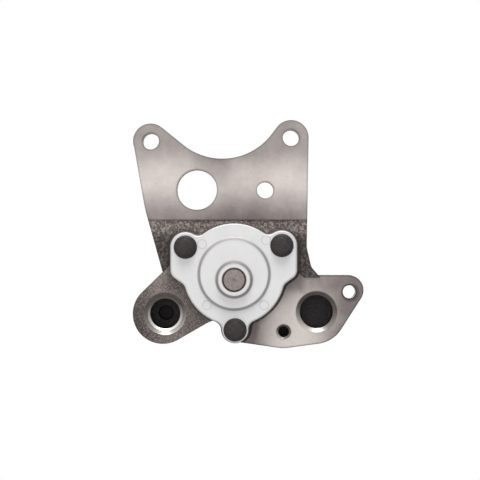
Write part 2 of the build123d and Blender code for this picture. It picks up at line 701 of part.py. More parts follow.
def rear_bush():
    front = FLOOR_Y + BUSH_INSET
    bush = rod(SHAFT_R + BUSH_WALL, SHAFT_AT, front, BEARING_BACK_Y)
    return bush - rod(SHAFT_R + SHAFT_CLEARANCE, SHAFT_AT, front, BEARING_BACK_Y)


def gear_outline():
    """Involute teeth, each flank drawn from the base circle to the tip, with straight roots."""
    pitch_r = GEAR_MODULE * GEAR_TEETH / 2
    pressure = math.radians(PRESSURE_ANGLE)
    base_r = pitch_r * math.cos(pressure)
    tip_r = pitch_r + GEAR_MODULE
    half_tooth = math.pi / (2 * GEAR_TEETH) + math.tan(pressure) - pressure

    def flank(radius):
        """The flank's angle from the middle of its tooth, at a radius."""
        lean = math.acos(min(1, base_r / radius))
        return math.degrees(half_tooth - math.tan(lean) + lean)

    radii = [base_r + (tip_r - base_r) * step / FLANK_STEPS for step in range(FLANK_STEPS + 1)]
    pitch = 360 / GEAR_TEETH
    root = flank(base_r) + ROOT_FLARE_ANGLE
    points = []
    for tooth in range(GEAR_TEETH):
        middle = tooth * pitch
        points.append(polar(GEAR_ROOT_R, middle - root))
        points += [polar(radius, middle - flank(radius)) for radius in radii]
        points += [polar(radius, middle + flank(radius)) for radius in reversed(radii)]
        points.append(polar(GEAR_ROOT_R, middle + root))
    return make_face(Polyline(*points, close=True))


def drive_gear():
    gear = slab(Pos(*SHAFT_AT) * Rot(0, 0, 90) * gear_outline(), GEAR_FRONT_Y, GEAR_BACK_Y)
    recess = disc(GEAR_ROOT_R - GEAR_RIM, SHAFT_AT) - disc(GEAR_HUB_R, SHAFT_AT)
    gear -= slab(recess, GEAR_FRONT_Y, GEAR_FRONT_Y + GEAR_RECESS_DEPTH)
    gear -= slab(recess, GEAR_BACK_Y - GEAR_RECESS_DEPTH, GEAR_BACK_Y)
    gear -= rod(GEAR_SEAT_R + PRESS_GAP, SHAFT_AT, GEAR_FRONT_Y, GEAR_BACK_Y)
    gear -= slab(key_box(KEY_SIDE_PLAY), GEAR_FRONT_Y, GEAR_BACK_Y)
    return gear


def gear_key():
    return slab(key_box(0), *key_ends())


def gear_washer():
    washer = rod(WASHER_R, SHAFT_AT, GEAR_BACK_Y, NUT_FRONT_Y)
    return washer - rod(THREAD_R + WASHER_PLAY, SHAFT_AT, GEAR_BACK_Y, NUT_FRONT_Y)


def gear_nut():
    nut = hexagon(NUT_FLATS, SHAFT_AT, NUT_FRONT_Y, NUT_BACK_Y)
    return nut - rod(THREAD_R + THREAD_GAP, SHAFT_AT, NUT_FRONT_Y, NUT_BACK_Y)


# Relief valve

def relief_plunger():
    front = PLUNGER_FRONT_Y
    back = front + PLUNGER_LENGTH
    nose_r = RELIEF_SEAT_R - NOSE_PLAY
    stations = [
        (front - PLUNGER_NOSE, nose_r - PLUNGER_NOSE_TAPER),
        (front, nose_r),
        (front, RELIEF_BORE_R - RELIEF_CLEARANCE),
        (back, RELIEF_BORE_R - RELIEF_CLEARANCE),
    ]
    plunger = turned(DELIVERY_AT, stations)
    return plunger - rod(RELIEF_BORE_R - PLUNGER_WALL, DELIVERY_AT, front + PLUNGER_FLOOR, back)


def spring_ends():
    """The depths of the spring's two ends, in the plunger and in the plug."""
    return PLUNGER_FRONT_Y + PLUNGER_FLOOR, PLUG_FRONT_Y + SPRING_WELL


def relief_spring():
    """The coil, as short straight lengths of six-sided wire mitred together."""
    front, back = spring_ends()
    rise = back - front - 2 * SPRING_WIRE_R
    mean_r = RELIEF_BORE_R - PLUNGER_WALL - SPRING_PLAY - SPRING_WIRE_R
    count = SPRING_TURNS * SPRING_SIDES
    points = []
    for i in range(count + 1):
        x, z = polar(mean_r, 360 * i / SPRING_SIDES)
        depth = front + SPRING_WIRE_R + rise * i / count
        points.append((DELIVERY_AT[0] + x, depth, DELIVERY_AT[1] + z))
    path = Polyline(*points)
    section = Plane(path @ 0, z_dir=path % 0) * RegularPolygon(SPRING_WIRE_R, 6)
    return sweep(section, path, transition=Transition.RIGHT)


def relief_plug():
    seat = RELIEF_BACK_Y + SEAL_THICKNESS
    head = hexagon(PLUG_FLATS, DELIVERY_AT, seat, seat + PLUG_HEAD)
    shank = rod(PLUG_R - THREAD_GAP, DELIVERY_AT, PLUG_FRONT_Y, seat)
    well = rod(RELIEF_BORE_R - PLUNGER_WALL, DELIVERY_AT, PLUG_FRONT_Y, PLUG_FRONT_Y + SPRING_WELL)
    return head + shank - well


def relief_washer():
    back = RELIEF_BACK_Y + SEAL_THICKNESS
    washer = rod(SEAL_R, DELIVERY_AT, RELIEF_BACK_Y, back)
    return washer - rod(PLUG_R + SEAL_PLAY, DELIVERY_AT, RELIEF_BACK_Y, back)


PARTS = {
    "pump_body": pump_body(),
    "front_cover": front_cover(),
    "cover_bolt_upper_right": cover_bolt(UPPER_BOLT_ANGLES[0]),
    "cover_bolt_upper_left": cover_bolt(UPPER_BOLT_ANGLES[1]),
    "cover_bolt_bottom": cover_bolt(BOTTOM_BOLT_ANGLE),
    "dowel_right": dowel(1),
    "dowel_left": dowel(-1),
    "rear_bush": rear_bush(),
    "drive_shaft": drive_shaft(),
    "rotor_drive_pin": rotor_drive_pin(),
    "inner_rotor": inner_rotor(),
    "outer_rotor": outer_rotor(),
    "drive_gear": drive_gear(),
    "gear_key": gear_key(),
    "gear_washer": gear_washer(),
    "gear_nut": gear_nut(),
    "relief_plunger": relief_plunger(),
    "relief_spring": relief_spring(),
    "relief_plug": relief_plug(),
    "relief_washer": relief_washer(),
}

for name, shape in PARTS.items():
    export_step(shape, f"parts/{name}.step")
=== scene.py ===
"""Looks of a gerotor oil pump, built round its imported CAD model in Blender 4.5.

The constants and the finishes count in millimetres. Meshes, properties and the stage count in metres.
"""

import json
import math

import bmesh
import bpy
from bpy.props import FloatProperty, FloatVectorProperty, IntProperty, PointerProperty
from mathutils import Matrix, Vector


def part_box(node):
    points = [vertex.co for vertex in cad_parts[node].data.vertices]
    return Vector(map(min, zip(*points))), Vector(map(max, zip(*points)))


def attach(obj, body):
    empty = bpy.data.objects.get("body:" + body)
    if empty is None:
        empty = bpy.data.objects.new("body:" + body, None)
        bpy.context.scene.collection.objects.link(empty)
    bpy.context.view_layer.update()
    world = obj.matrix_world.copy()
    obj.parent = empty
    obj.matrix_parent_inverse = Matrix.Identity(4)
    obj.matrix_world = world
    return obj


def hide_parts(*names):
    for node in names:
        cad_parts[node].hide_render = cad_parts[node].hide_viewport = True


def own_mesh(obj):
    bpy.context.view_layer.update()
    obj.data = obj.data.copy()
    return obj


bl_info = {
    "name": "Oil pump looks",
    "version": (1, 0, 0),
    "blender": (4, 5, 0),
    "location": "3D View > Sidebar > Oil pump",
    "description": "Finishes and fine pieces of a gerotor oil pump",
    "category": "Object",
}

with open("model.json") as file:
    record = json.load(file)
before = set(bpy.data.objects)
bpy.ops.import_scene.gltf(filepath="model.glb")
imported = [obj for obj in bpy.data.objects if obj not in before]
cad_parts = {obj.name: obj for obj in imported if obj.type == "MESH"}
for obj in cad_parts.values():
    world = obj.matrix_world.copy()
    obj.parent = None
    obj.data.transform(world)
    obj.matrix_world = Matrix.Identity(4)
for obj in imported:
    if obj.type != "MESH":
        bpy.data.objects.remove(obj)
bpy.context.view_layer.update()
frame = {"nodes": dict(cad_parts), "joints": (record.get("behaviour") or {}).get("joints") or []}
MM = 0.001

# Places in millimetres, as in the part: x to the right and z up, seen from the cover side
SHAFT_AT = (24.705, -58.769)
CHAMBER_AT = (24.705, -55.269)
DELIVERY_AT = (-20.9, -81.8)
SUCTION_AT = (79.1, -80.7)
FLANGE_TAP_AT = (57.40, -93.90)
FLANGE_HOLE_AT = (100.80, -67.50)
FLANGE_HOLE_SHADE_AT = (101.6, -68.0)
IDLER_AT = (0.0, 0.0)
LEFT_EAR_AT = (-30.5, 32.1)
RIGHT_EAR_AT = (62.2, 34.4)
LOW_HOLE_AT = (45.2, -0.2)
EJECTOR_MARKS_AT = ((4.0, -35.8), (45.3, -33.2), (7.2, -75.2), (44.0, -75.2))
BOLTS_AT = ((55.56, -36.73), (-6.78, -37.82), (25.33, -91.26))
WAIST_AT = (10.0, 16.0)
COVER_FRONT_Y = -22.0
HUB_FRONT_Y = -30.0
GEAR_FRONT_Y = 27.5
GEAR_BACK_Y = 40.5
NUT_FRONT_Y = 42.5
NUT_BACK_Y = 50.5
PLUG_SEAT_Y = 48.5
PLUG_TOP_Y = 54.5

# Depths of the casting's milled flat faces
FLANGE_FACE_Y = 2.0
MILLED_FACES_Y = (0.0, FLANGE_FACE_Y, 14.0, 26.0, 47.0, -14.0)

# Round bores: their place, radius, and the depths that they lie between
MILLED_BORES = (
    (IDLER_AT, 13.4, -0.1, 14.1),
    (LEFT_EAR_AT, 5.65, -0.1, 14.1),
    (RIGHT_EAR_AT, 5.65, -0.1, 14.1),
    (LOW_HOLE_AT, 5.65, -0.1, 14.1),
    (SUCTION_AT, 13.8, 1.9, 5.2),
    (FLANGE_TAP_AT, 5.1, 1.9, 4.6),
    (FLANGE_HOLE_AT, 4.45, 1.9, 12.1),
    (SHAFT_AT, 9.6, 4.0, 26.1),
    (DELIVERY_AT, 14.05, -3.1, 2.4),
    (DELIVERY_AT, 9.1, 17.9, 47.1),
    (CHAMBER_AT, 28.2, -14.1, 4.2),
)
# Straight walls of the drilled holes, painted dark as shade: their place, radius, and the depths that they lie
# between
STRAIGHT_WALLS = (
    (IDLER_AT, 13.3, 0.4, 13.7),
    (LEFT_EAR_AT, 5.6, 0.4, 13.7),
    (RIGHT_EAR_AT, 5.6, 0.4, 13.7),
    (LOW_HOLE_AT, 5.6, 0.4, 13.7),
    (FLANGE_HOLE_AT, 4.45, 2.3, 11.8),
)
# Passages painted near black as shade: their place, radius, and the depths that they lie between
SHADED_HOLLOWS = (
    (SUCTION_AT, 12.2, 4.7, 14.2),
    (DELIVERY_AT, 10.2, 2.2, 17.0),
    (FLANGE_TAP_AT, 3.6, 3.4, 15.1),
)
COUNTERSINKS = (
    (SUCTION_AT, 13.8, 2.1, 5.2),
    (FLANGE_TAP_AT, 5.1, 2.1, 4.6),
    (DELIVERY_AT, 14.05, -2.9, 2.4),
    (FLANGE_HOLE_AT, 5.2, 2.1, 3.4),
)

# The stage, in metres: the view's middle, what the lamps face, each lamp's place and size, and its watts
VIEW_MIDDLE = (0.0285, -0.0332)
LAMPS_FACE = (0.03, 0, -0.03)
LAMPS = (
    ("overhead", (0.05, -0.62, 0.90), (0.6, 0.45), 7.2),
    ("top_strip", (-0.03, -0.10, 0.85), (0.7, 0.3), 2.8),
    ("fill_front", (-0.25, -1.3, -0.05), (1.6, 1.4), 6.4),
    ("back_light", (0.15, 0.95, 0.55), (0.9, 0.6), 7.0),
)
LENS_MM = 113.6
SURROUNDING_LIGHT = 0.30
SEEN_BACKGROUND = 1.0


# Shader sums

class Value:
    """A socket that carries a number, so that sums of sockets read as sums."""

    def __init__(self, finish, socket):
        self.finish = finish
        self.socket = socket

    def math(self, operation, *others):
        inputs = dict(enumerate((self, *others)))
        return self.finish.node("ShaderNodeMath", {"operation": operation}, inputs)

    def __add__(self, other):
        return self.math("ADD", other)

    def __radd__(self, other):
        return self.math("ADD", other)

    def __sub__(self, other):
        return self.math("SUBTRACT", other)

    def __rsub__(self, other):
        return (self * -1) + other

    def __mul__(self, other):
        return self.math("MULTIPLY", other)

    def __rmul__(self, other):
        return self.math("MULTIPLY", other)

    def __truediv__(self, other):
        return self.math("DIVIDE", other)

    def __abs__(self):
        return self.math("ABSOLUTE")

    def __lt__(self, other):
        return self.math("LESS_THAN", other)

    def __gt__(self, other):
        return self.math("GREATER_THAN", other)

    def either(self, other):
        """The larger of two values: the union of two masks."""
        return self.math("MAXIMUM", other)

    def both(self, other):
        """The smaller of two values: where two masks meet."""
        return self.math("MINIMUM", other)

    def clamped(self):
        return self.math("MAXIMUM", 0.0).math("MINIMUM", 1.0)


class Finish:
    """One procedural material. Its place is the object's own, in millimetres."""

    def __init__(self, name, metallic=0.0, constants=None):
        self.material = bpy.data.materials.new(name)
        self.material.use_nodes = True
        self.tree = self.material.node_tree
        self.shader = self.tree.nodes["Principled BSDF"]
        self.shader.inputs["Metallic"].default_value = metallic
        for socket, value in (constants or {}).items():
            self.shader.inputs[socket].default_value = value
        where = self.node("ShaderNodeTexCoord", {}, {}, output="Object")
        self.place = self.node("ShaderNodeVectorMath", {"operation": "SCALE"}, {0: where, "Scale": 1 / MM})
        self.x = self.axis("X")
        self.y = self.axis("Y")
        self.z = self.axis("Z")

    def node(self, kind, settings, inputs, output=0):
        """Adds one node: its settings first, then the values or links of its sockets."""
        made = self.tree.nodes.new(kind)
        for name, setting in settings.items():
            if name == "stops":
                self.set_ramp(made.color_ramp, setting)
            else:
                setattr(made, name, setting)
        for key, value in inputs.items():
            self.join(value, self.find(made, key))
        return Value(self, made.outputs[output])

    def find(self, made, key):
        """A node's input, by its number or its identifier."""
        if isinstance(key, int):
            return made.inputs[key]
        return next(s for s in made.inputs if s.identifier == key)

    def join(self, value, socket):
        """Links a value to a socket, or sets a number or a colour on it."""
        if isinstance(value, Value):
            self.tree.links.new(value.socket, socket)
        elif socket.type == "RGBA" and len(value) == 3:
            socket.default_value = (*value, 1.0)
        else:
            socket.default_value = value

    def set_ramp(self, ramp, stops):
        while len(ramp.elements) < len(stops):
            ramp.elements.new(0.5)
        for element, (position, level) in zip(ramp.elements, stops):
            element.position = position
            element.color = (level, level, level, 1.0)

    def axis(self, letter):
        return self.node("ShaderNodeSeparateXYZ", {}, {0: self.place}, output=letter)

    def noise(self, size, detail=2.0, rough=0.5, stretch=(1, 1, 1), shift=0.0):
        """Cloudy noise from 0 to 1, whose patches are about size millimetres."""
        vector = self.stretched(stretch, shift)
        inputs = {"Vector": vector, "Scale": 1 / size, "Detail": detail, "Roughness": rough}
        return self.node("ShaderNodeTexNoise", {}, inputs)

    def pebbles(self, size):
        """Distance to the nearest of scattered points about size millimetres apart."""
        settings = {"feature": "SMOOTH_F1"}
        inputs = {"Vector": self.place, "Scale": 1 / size, "Smoothness": 0.35}
        return self.node("ShaderNodeTexVoronoi", settings, inputs)

    def stretched(self, stretch, shift):
        """The place drawn out along its axes, and shifted so that two patterns differ."""
        if stretch == (1, 1, 1) and shift == 0.0:
            return self.place
        settings = {"operation": "MULTIPLY_ADD"}
        return self.node("ShaderNodeVectorMath", settings, {0: self.place, 1: stretch, 2: (shift,) * 3})

    def contrast(self, value, low, high):
        """The value spread so that low becomes 0 and high becomes 1."""
        return ((value - low) / (high - low)).clamped()

    def mix(self, factor, first, second):
        inputs = {"Factor_Float": factor, "A_Color": first, "B_Color": second}
        return self.node("ShaderNodeMix", {"data_type": "RGBA"}, inputs, output=2)

    def tinted(self, colour, amount):
        """A colour made lighter or darker by a value round 1."""
        settings = {"data_type": "RGBA", "blend_type": "MULTIPLY"}
        grey = self.node("ShaderNodeCombineXYZ", {}, {0: amount, 1: amount, 2: amount})
        inputs = {"Factor_Float": 1.0, "A_Color": colour, "B_Color": grey}
        return self.node("ShaderNodeMix", settings, inputs, output=2)

    def distance(self, place):
        """Distance from an axis that runs along y through a place."""
        dx = self.x - place[0]
        dz = self.z - place[1]
        return (dx * dx + dz * dz).math("SQRT")

    def at_depth(self, depth, play=0.06):
        """The mask of a flat face at one depth."""
        return abs(self.y - depth) < play

    def between(self, front, back):
        """The mask of a range of depths."""
        return (self.y > front).both(self.y < back)

    def bore(self, place, radius, front, back):
        """The mask of a round bore between two depths."""
        return (self.distance(place) < radius).both(self.between(front, back))

    def edges(self, width):
        """Rises from 0 in the open to 1 at a sharp outer edge, over a width in millimetres."""
        settings = {"inside": True, "only_local": True, "samples": 8}
        depth = self.node("ShaderNodeAmbientOcclusion", settings, {"Distance": width * MM}, output="AO")
        return ((0.95 - depth) * 2.2).clamped()

    def lower_side(self, place, radius):
        """Rises from 0 over a bore's axis to 1 at its foot."""
        return self.soft_step((self.z - place[1]) / radius, 0.55, -0.95)

    def soft_step(self, value, start, end):
        """Rises smoothly from 0 at start to 1 at end; start may be the higher one."""
        inputs = {"Value": value, "From Min": start, "From Max": end}
        settings = {"interpolation_type": "SMOOTHSTEP"}
        return self.node("ShaderNodeMapRange", settings, inputs)

    def finish(self, colour, roughness, height=None, metallic=None):
        """Joins the results to the shader: height is in millimetres."""
        self.join(colour, self.shader.inputs["Base Color"])
        self.join(roughness, self.shader.inputs["Roughness"])
        if metallic is not None:
            self.join(metallic, self.shader.inputs["Metallic"])
        if height is not None:
            bump = self.node("ShaderNodeBump", {}, {"Strength": 1.0, "Distance": MM, "Height": height})
            self.tree.links.new(bump.socket, self.shader.inputs["Normal"])
        return self.material


# Finishes

def in_bores(finish, bores):
    """The mask of several round bores."""
    mask = finish.bore(*bores[0])
    for bore in bores[1:]:
        mask = mask.either(finish.bore(*bore))
    return mask


def milled_faces(finish):
    """The mask of every milled, bored or chamfered face of the casting."""
    mask = in_bores(finish, MILLED_BORES)
    for depth in MILLED_FACES_Y:
        mask = mask.either(finish.at_depth(depth))
    return mask


def past_cover(finish):
    """Distance outside the cover: its circle, its bolt corners and its straight sides."""
    gap = finish.distance(CHAMBER_AT) - 31.8
    for place in BOLTS_AT:
        gap = gap.both(finish.distance(place) - 9.9)
    across = abs(finish.x - CHAMBER_AT[0]) - 41.5
    along = abs(finish.z + 50.0) - 13.0
    return gap.both(across.either(along))


def countersunk(finish, metal, colours):
    """The metal with its countersinks: painted shade above, and a painted highlight at the foot."""
    for place, radius, front, back in COUNTERSINKS:
        mouth = finish.bore(place, radius, front, back)
        # Painted light: each countersink goes from painted shade above its axis to a painted highlight at its
        # foot.
        side = finish.mix(finish.lower_side(place, radius), colours.mouth_painted_shade, colours.mouth_painted_highlight)
        metal = finish.mix(mouth, metal, side)
    return metal


def cast_skin(finish, colours, edge, gap):
    """Coarse pebbles with painted glints, painted light in brown under the milled edge, painted shade round the
    cover and along edges, and a fine blasted grain on the delivery boss.
    """
    pebble = finish.contrast(finish.noise(1.25, 2.0, 0.5), 0.30, 0.70)
    grit = finish.noise(0.45, 2.0, 0.6, shift=31.0)
    speckle = finish.contrast(finish.noise(0.95, 2.0, 0.7, shift=63.0), 0.36, 0.64)
    cloud = finish.noise(9.0, 3.0, 0.55, shift=7.0)
    front = finish.soft_step(finish.y, 4.5, 3.0)
    boss = finish.soft_step(finish.y, -1.2, -2.6)
    # Painted light: a lighter brown strip of skin under the milled edge, where light from above falls.
    painted_light_strip = finish.soft_step(finish.z, -34.0, -25.0).both(front)
    # Painted glints: lighter pebbles in the colour, brightest in the painted light strip.
    glint = finish.contrast(pebble * 0.55 + grit * 0.55, 0.42, 0.80)

    pebbled = glint * (painted_light_strip * 0.52 + front * 0.08 + 0.19) + painted_light_strip * 0.22 + cloud * 0.12 - 0.06
    # Painted shade: the front skin darker in a band round the cover.
    pebbled = pebbled - front * finish.soft_step(gap, 3.2, 0.8) * 0.50
    # Painted shade: the delivery boss darker towards its left and its bottom.
    lean = finish.soft_step(finish.x, -42.0, -18.0) * 0.40 + finish.soft_step(finish.z, -92.0, -62.0) * 0.18
    grained = lean + (speckle - 0.5) * 0.56 + (cloud - 0.5) * 0.30 + 0.05
    # Painted shade: the boss darker in two bands round the cover.
    grained = grained - finish.soft_step(gap, 6.6, 5.4) * 0.16 - finish.soft_step(gap, 3.6, 2.4) * 0.14
    # The skin's painted light, painted shade and random tone together, from its dark to its light colour.
    wear_and_painted_light = (pebbled + boss * (grained - pebbled)).clamped()

    skin = finish.mix(wear_and_painted_light, colours.cast_dark, colours.cast_light)
    # Random tone, less painted shade along the outer edges.
    skin = finish.tinted(skin, cloud * 0.3 + grit * 0.4 + 0.60 - edge * 0.45)
    rough = 0.62 - glint * 0.18
    height = pebble * (0.32 - boss * 0.28) + grit * 0.10 + boss * speckle * 0.05
    return skin, rough, height


def milled_iron(finish, colours, edge, gap, mouths):
    """Painted reflections in long soft patches, a painted shadow near the cover, fine lines of the cutter, rust
    specks, and painted shade at the edges and round one hole.
    """
    mottle = finish.contrast(finish.noise(13.0, 4.0, 0.62, shift=53.0), 0.30, 0.70)
    brushed = finish.noise(0.9, 3.0, 0.6, stretch=(1.6, 1.0, 0.14))
    crossed = finish.noise(0.7, 3.0, 0.6, stretch=(0.2, 1.0, 1.5), shift=20.0)
    stain = finish.contrast(finish.noise(2.0, 5.0, 0.7, shift=91.0), 0.56, 0.78)

    # Painted reflections: long soft light and dark patches across the plate's face.
    band = finish.soft_step(finish.z, -20.0, 6.0) * (1.0 - finish.soft_step(finish.z, 8.0, 31.0) * 0.80)
    waist = finish.soft_step(finish.distance(WAIST_AT), 19.0, 5.0)
    middle = finish.soft_step(abs(finish.x - 30.0), 26.0, 6.0)
    on_plate = band * 0.70 - waist * 0.36 - middle * 0.14 + 0.03

    # Painted reflections across the flange's face, less a painted shadow near the cover.
    across = finish.soft_step(finish.x, 106.0, 66.0) * finish.soft_step(finish.x, 34.0, 54.0)
    down = finish.soft_step(finish.z, -60.0, -80.0) * 0.6 + 0.4
    on_flange = across * down * 0.92 - 0.15 - finish.soft_step(gap, 8.0, 1.0) * 0.30

    low_face = finish.at_depth(FLANGE_FACE_Y)
    # The painted reflections of the plate and of the flange, with random mottle.
    painted_reflection = on_plate + low_face * (on_flange - on_plate)
    painted_reflection = (painted_reflection + mottle * 0.22).clamped()
    metal = finish.mix(painted_reflection, colours.milled_dark, colours.milled_light)
    # Painted shade: a dark crescent on the flange face at the rim of its hole.
    painted_hole_shade = finish.soft_step(finish.distance(FLANGE_HOLE_SHADE_AT), 6.8, 5.4).both(low_face)
    tone = brushed * 0.18 + crossed * 0.14 + 0.86 - stain * 0.22
    # Cutter lines and rust specks, less painted shade along the edges and at the flange's hole.
    metal = finish.tinted(metal, tone - edge * (low_face * 0.3 + 0.6) - painted_hole_shade * 0.45)
    # Painted shade: the straight walls of the drilled holes darkened.
    metal = finish.mix(in_bores(finish, STRAIGHT_WALLS), metal, colours.bored)
    metal = countersunk(finish, metal, colours)
    rough = mottle * 0.10 + brushed * 0.10 + 0.34 - mouths * 0.12
    height = brushed * 0.005 + crossed * 0.004
    return metal, rough, height


def cast_iron(colours):
    """Shell-moulded iron: a dark pebbled skin, and bright warm faces where it is milled and bored."""
    finish = Finish("cast_iron_skin_and_milled_faces", constants={"Specular IOR Level": 0.3})
    milled = milled_faces(finish)
    hollow_shade = in_bores(finish, SHADED_HOLLOWS)
    mouths = in_bores(finish, COUNTERSINKS)
    # Painted shade: the colour darkens along the sharp outer edges of the skin and the milled faces.
    edge = finish.edges(1.3)
    gap = past_cover(finish)
    skin, skin_rough, skin_height = cast_skin(finish, colours, edge, gap)
    metal, metal_rough, metal_height = milled_iron(finish, colours, edge, gap, mouths)

    colour = finish.mix(milled, skin, metal)
    # Painted shade: the insides of the passages near black.
    colour = finish.mix(hollow_shade, colour, colours.hollow_shade)
    rough = skin_rough + milled * (metal_rough - skin_rough)
    height = skin_height + milled * (metal_height - skin_height)
    metallic = (milled * 0.30 + mouths * 0.45) * (1.0 - hollow_shade) + 0.05
    return finish.finish(colour, rough, height, metallic)


def cover_aluminium(colours):
    """Blasted die-cast aluminium, near white, with painted shade at the feet of its disc and hub, round the
    shaft and along its edges.
    """
    finish = Finish("cover_aluminium", metallic=0.2)
    frost = finish.noise(0.35, 2.0, 0.6)
    flow = finish.noise(9.0, 4.0, 0.6, stretch=(1.0, 1.0, 0.55), shift=12.0)
    speck = finish.contrast(finish.noise(0.8, 2.0, 0.5, shift=44.0), 0.66, 0.76)
    colour = finish.mix(flow, colours.cover_low, colours.cover_high)
    disc_foot = finish.soft_step(abs(finish.distance(CHAMBER_AT) - 22.9), 1.4, 0.3)
    hub_foot = finish.soft_step(abs(finish.distance(SHAFT_AT) - 11.3), 1.5, 0.4)
    # Painted shade: darker rings at the feet of the disc and hub, and round the shaft.
    painted_corner_shade = disc_foot.both(finish.between(-24.9, -21.9)) * 0.62
    painted_corner_shade = painted_corner_shade + hub_foot.both(finish.between(-29.2, -24.9)) * 0.80
    painted_corner_shade = painted_corner_shade + (finish.distance(SHAFT_AT) < 8.0) * (finish.y < -26.0) * 0.9
    colour = finish.mix(painted_corner_shade, colour, colours.cover_shade)
    # Random specks, less painted shade along the outer edges.
    colour = finish.tinted(colour, 1.0 - speck * 0.07 - finish.edges(1.4) * 0.30)
    rough = frost * 0.12 + flow * 0.08 + 0.42
    height = frost * 0.022 + flow * 0.05
    return finish.finish(colour, rough, height)


def black_steel(colours):
    """Blackened bolts, dull on their tops and worn a little at the edges."""
    finish = Finish("black_steel", metallic=0.2, constants={"Specular IOR Level": 0.3})
    cloud = finish.contrast(finish.noise(1.6, 4.0, 0.65), 0.30, 0.70)
    grain = finish.noise(0.3, 2.0, 0.6, shift=5.0)
    wear_and_painted_light = (cloud * 0.8 + finish.edges(0.5) * 0.9).clamped()
    colour = finish.mix(wear_and_painted_light, colours.bolt_dark, colours.bolt_light)
    rough = cloud * 0.18 + grain * 0.10 + 0.36
    height = cloud * 0.05 + grain * 0.018
    return finish.finish(colour, rough, height)


def turned_steel(colours):
    """A turned and ground shaft: rings on its end round a centre mark, fine lines round it, and painted shade
    round the rim of its end.
    """
    finish = Finish("turned_steel", metallic=0.85)
    radius = finish.distance(SHAFT_AT)
    wobble = finish.noise(3.0, 3.0, 0.6)
    rings = (radius * 5.5 + wobble * 5.0).math("SINE") * 0.5 + 0.5
    rounds = (finish.y * 9.0).math("SINE") * 0.5 + 0.5
    end = finish.y < HUB_FRONT_Y
    lines = rounds + end * (rings - rounds)
    smudge = finish.contrast(finish.noise(1.6, 4.0, 0.65, shift=17.0), 0.30, 0.72)
    centre = end.both(radius < 1.1)
    turn = (finish.z - SHAFT_AT[1]).math("ARCTAN2", finish.x - SHAFT_AT[0])
    thread = (finish.y * (math.tau / 1.5) - turn).math("SINE") * (finish.y > GEAR_BACK_Y)
    colour = finish.mix(smudge, colours.shaft_dark, colours.shaft_light)
    # Painted shade: a dark ring round the rim of the shaft's end, by the hub.
    rim = (radius > 6.65).both(finish.between(HUB_FRONT_Y - 1.0, HUB_FRONT_Y + 0.8))
    colour = finish.tinted(colour, 0.94 - centre * 0.25 + lines * 0.16 - rim * 0.80)
    rough = smudge * 0.16 + lines * 0.05 + 0.30
    height = lines * 0.014 + smudge * 0.03 - centre * 0.25 + thread * 0.28
    return finish.finish(colour, rough, height)


def ground_steel():
    """The relief plunger: ground bright on its sides, its nose painted near black and dull as shade deep in the
    bore.
    """
    finish = Finish("ground_steel", constants={"Specular IOR Level": 0.2})
    ground = finish.noise(0.4, 3.0, 0.6, stretch=(0.3, 4.0, 0.3))
    cloud = finish.noise(2.0, 3.0, 0.6, shift=6.0)
    # Painted shade: the nose, seen deep in the delivery bore, near black and dull.
    painted_bore_shade = finish.soft_step(finish.y, 19.0, 18.1)
    colour = finish.mix(cloud, (0.30, 0.29, 0.28), (0.42, 0.41, 0.40))
    colour = finish.mix(painted_bore_shade, colour, (0.015, 0.012, 0.012))
    rough = ground * 0.14 + 0.20 + painted_bore_shade * 0.5
    return finish.finish(colour, rough, ground * 0.008, metallic=(1.0 - painted_bore_shade) * 0.8)


def rotor_steel():
    """Pressed and sintered steel: a fine open grain with lapped end faces."""
    finish = Finish("rotor_steel", metallic=0.75)
    pores = finish.contrast(finish.pebbles(0.5), 0.10, 0.34)
    cloud = finish.noise(6.0, 3.0, 0.6)
    lapped = finish.at_depth(-13.96).either(finish.at_depth(4.04))
    colour = finish.mix(cloud, (0.20, 0.195, 0.19), (0.31, 0.30, 0.29))
    colour = finish.tinted(colour, pores * 0.22 + 0.80 + lapped * 0.10)
    rough = 0.48 - lapped * 0.16 + cloud * 0.08
    return finish.finish(colour, rough, pores * 0.03)


def gear_steel():
    """A hobbed and hardened gear: heat tint on its web, bright flanks and turned end faces."""
    finish = Finish("gear_steel", metallic=0.85)
    radius = finish.distance(SHAFT_AT)
    bright = finish.contrast(radius, 22.5, 23.3)
    cloud = finish.noise(7.0, 4.0, 0.6)
    rings = (radius * 7.0 + cloud * 3.0).math("SINE") * 0.5 + 0.5
    grain = finish.noise(0.5, 2.0, 0.6, shift=3.0)
    web = finish.mix(cloud, (0.085, 0.078, 0.075), (0.15, 0.14, 0.135))
    colour = finish.mix(bright, web, (0.38, 0.37, 0.36))
    colour = finish.tinted(colour, grain * 0.16 + 0.92)
    rough = 0.42 - bright * 0.14 + grain * 0.08
    return finish.finish(colour, rough, rings * 0.012 + grain * 0.015)


def zinc_steel():
    """Zinc plate with a faint yellow passivation that pools in clouds."""
    finish = Finish("zinc_steel", metallic=0.8)
    cloud = finish.noise(4.0, 4.0, 0.6)
    grain = finish.noise(0.4, 2.0, 0.6, shift=9.0)
    colour = finish.mix(cloud, (0.34, 0.34, 0.335), (0.48, 0.465, 0.42))
    colour = finish.tinted(colour, grain * 0.12 + 0.94)
    return finish.finish(colour, cloud * 0.12 + grain * 0.08 + 0.26, grain * 0.01)


def spring_steel():
    """Dark drawn wire with a thin oil film."""
    finish = Finish("spring_steel", metallic=0.85)
    drawn = finish.noise(0.5, 3.0, 0.6, stretch=(1, 3, 1))
    colour = finish.mix(drawn, (0.13, 0.13, 0.14), (0.24, 0.235, 0.23))
    return finish.finish(colour, drawn * 0.15 + 0.24, drawn * 0.01)


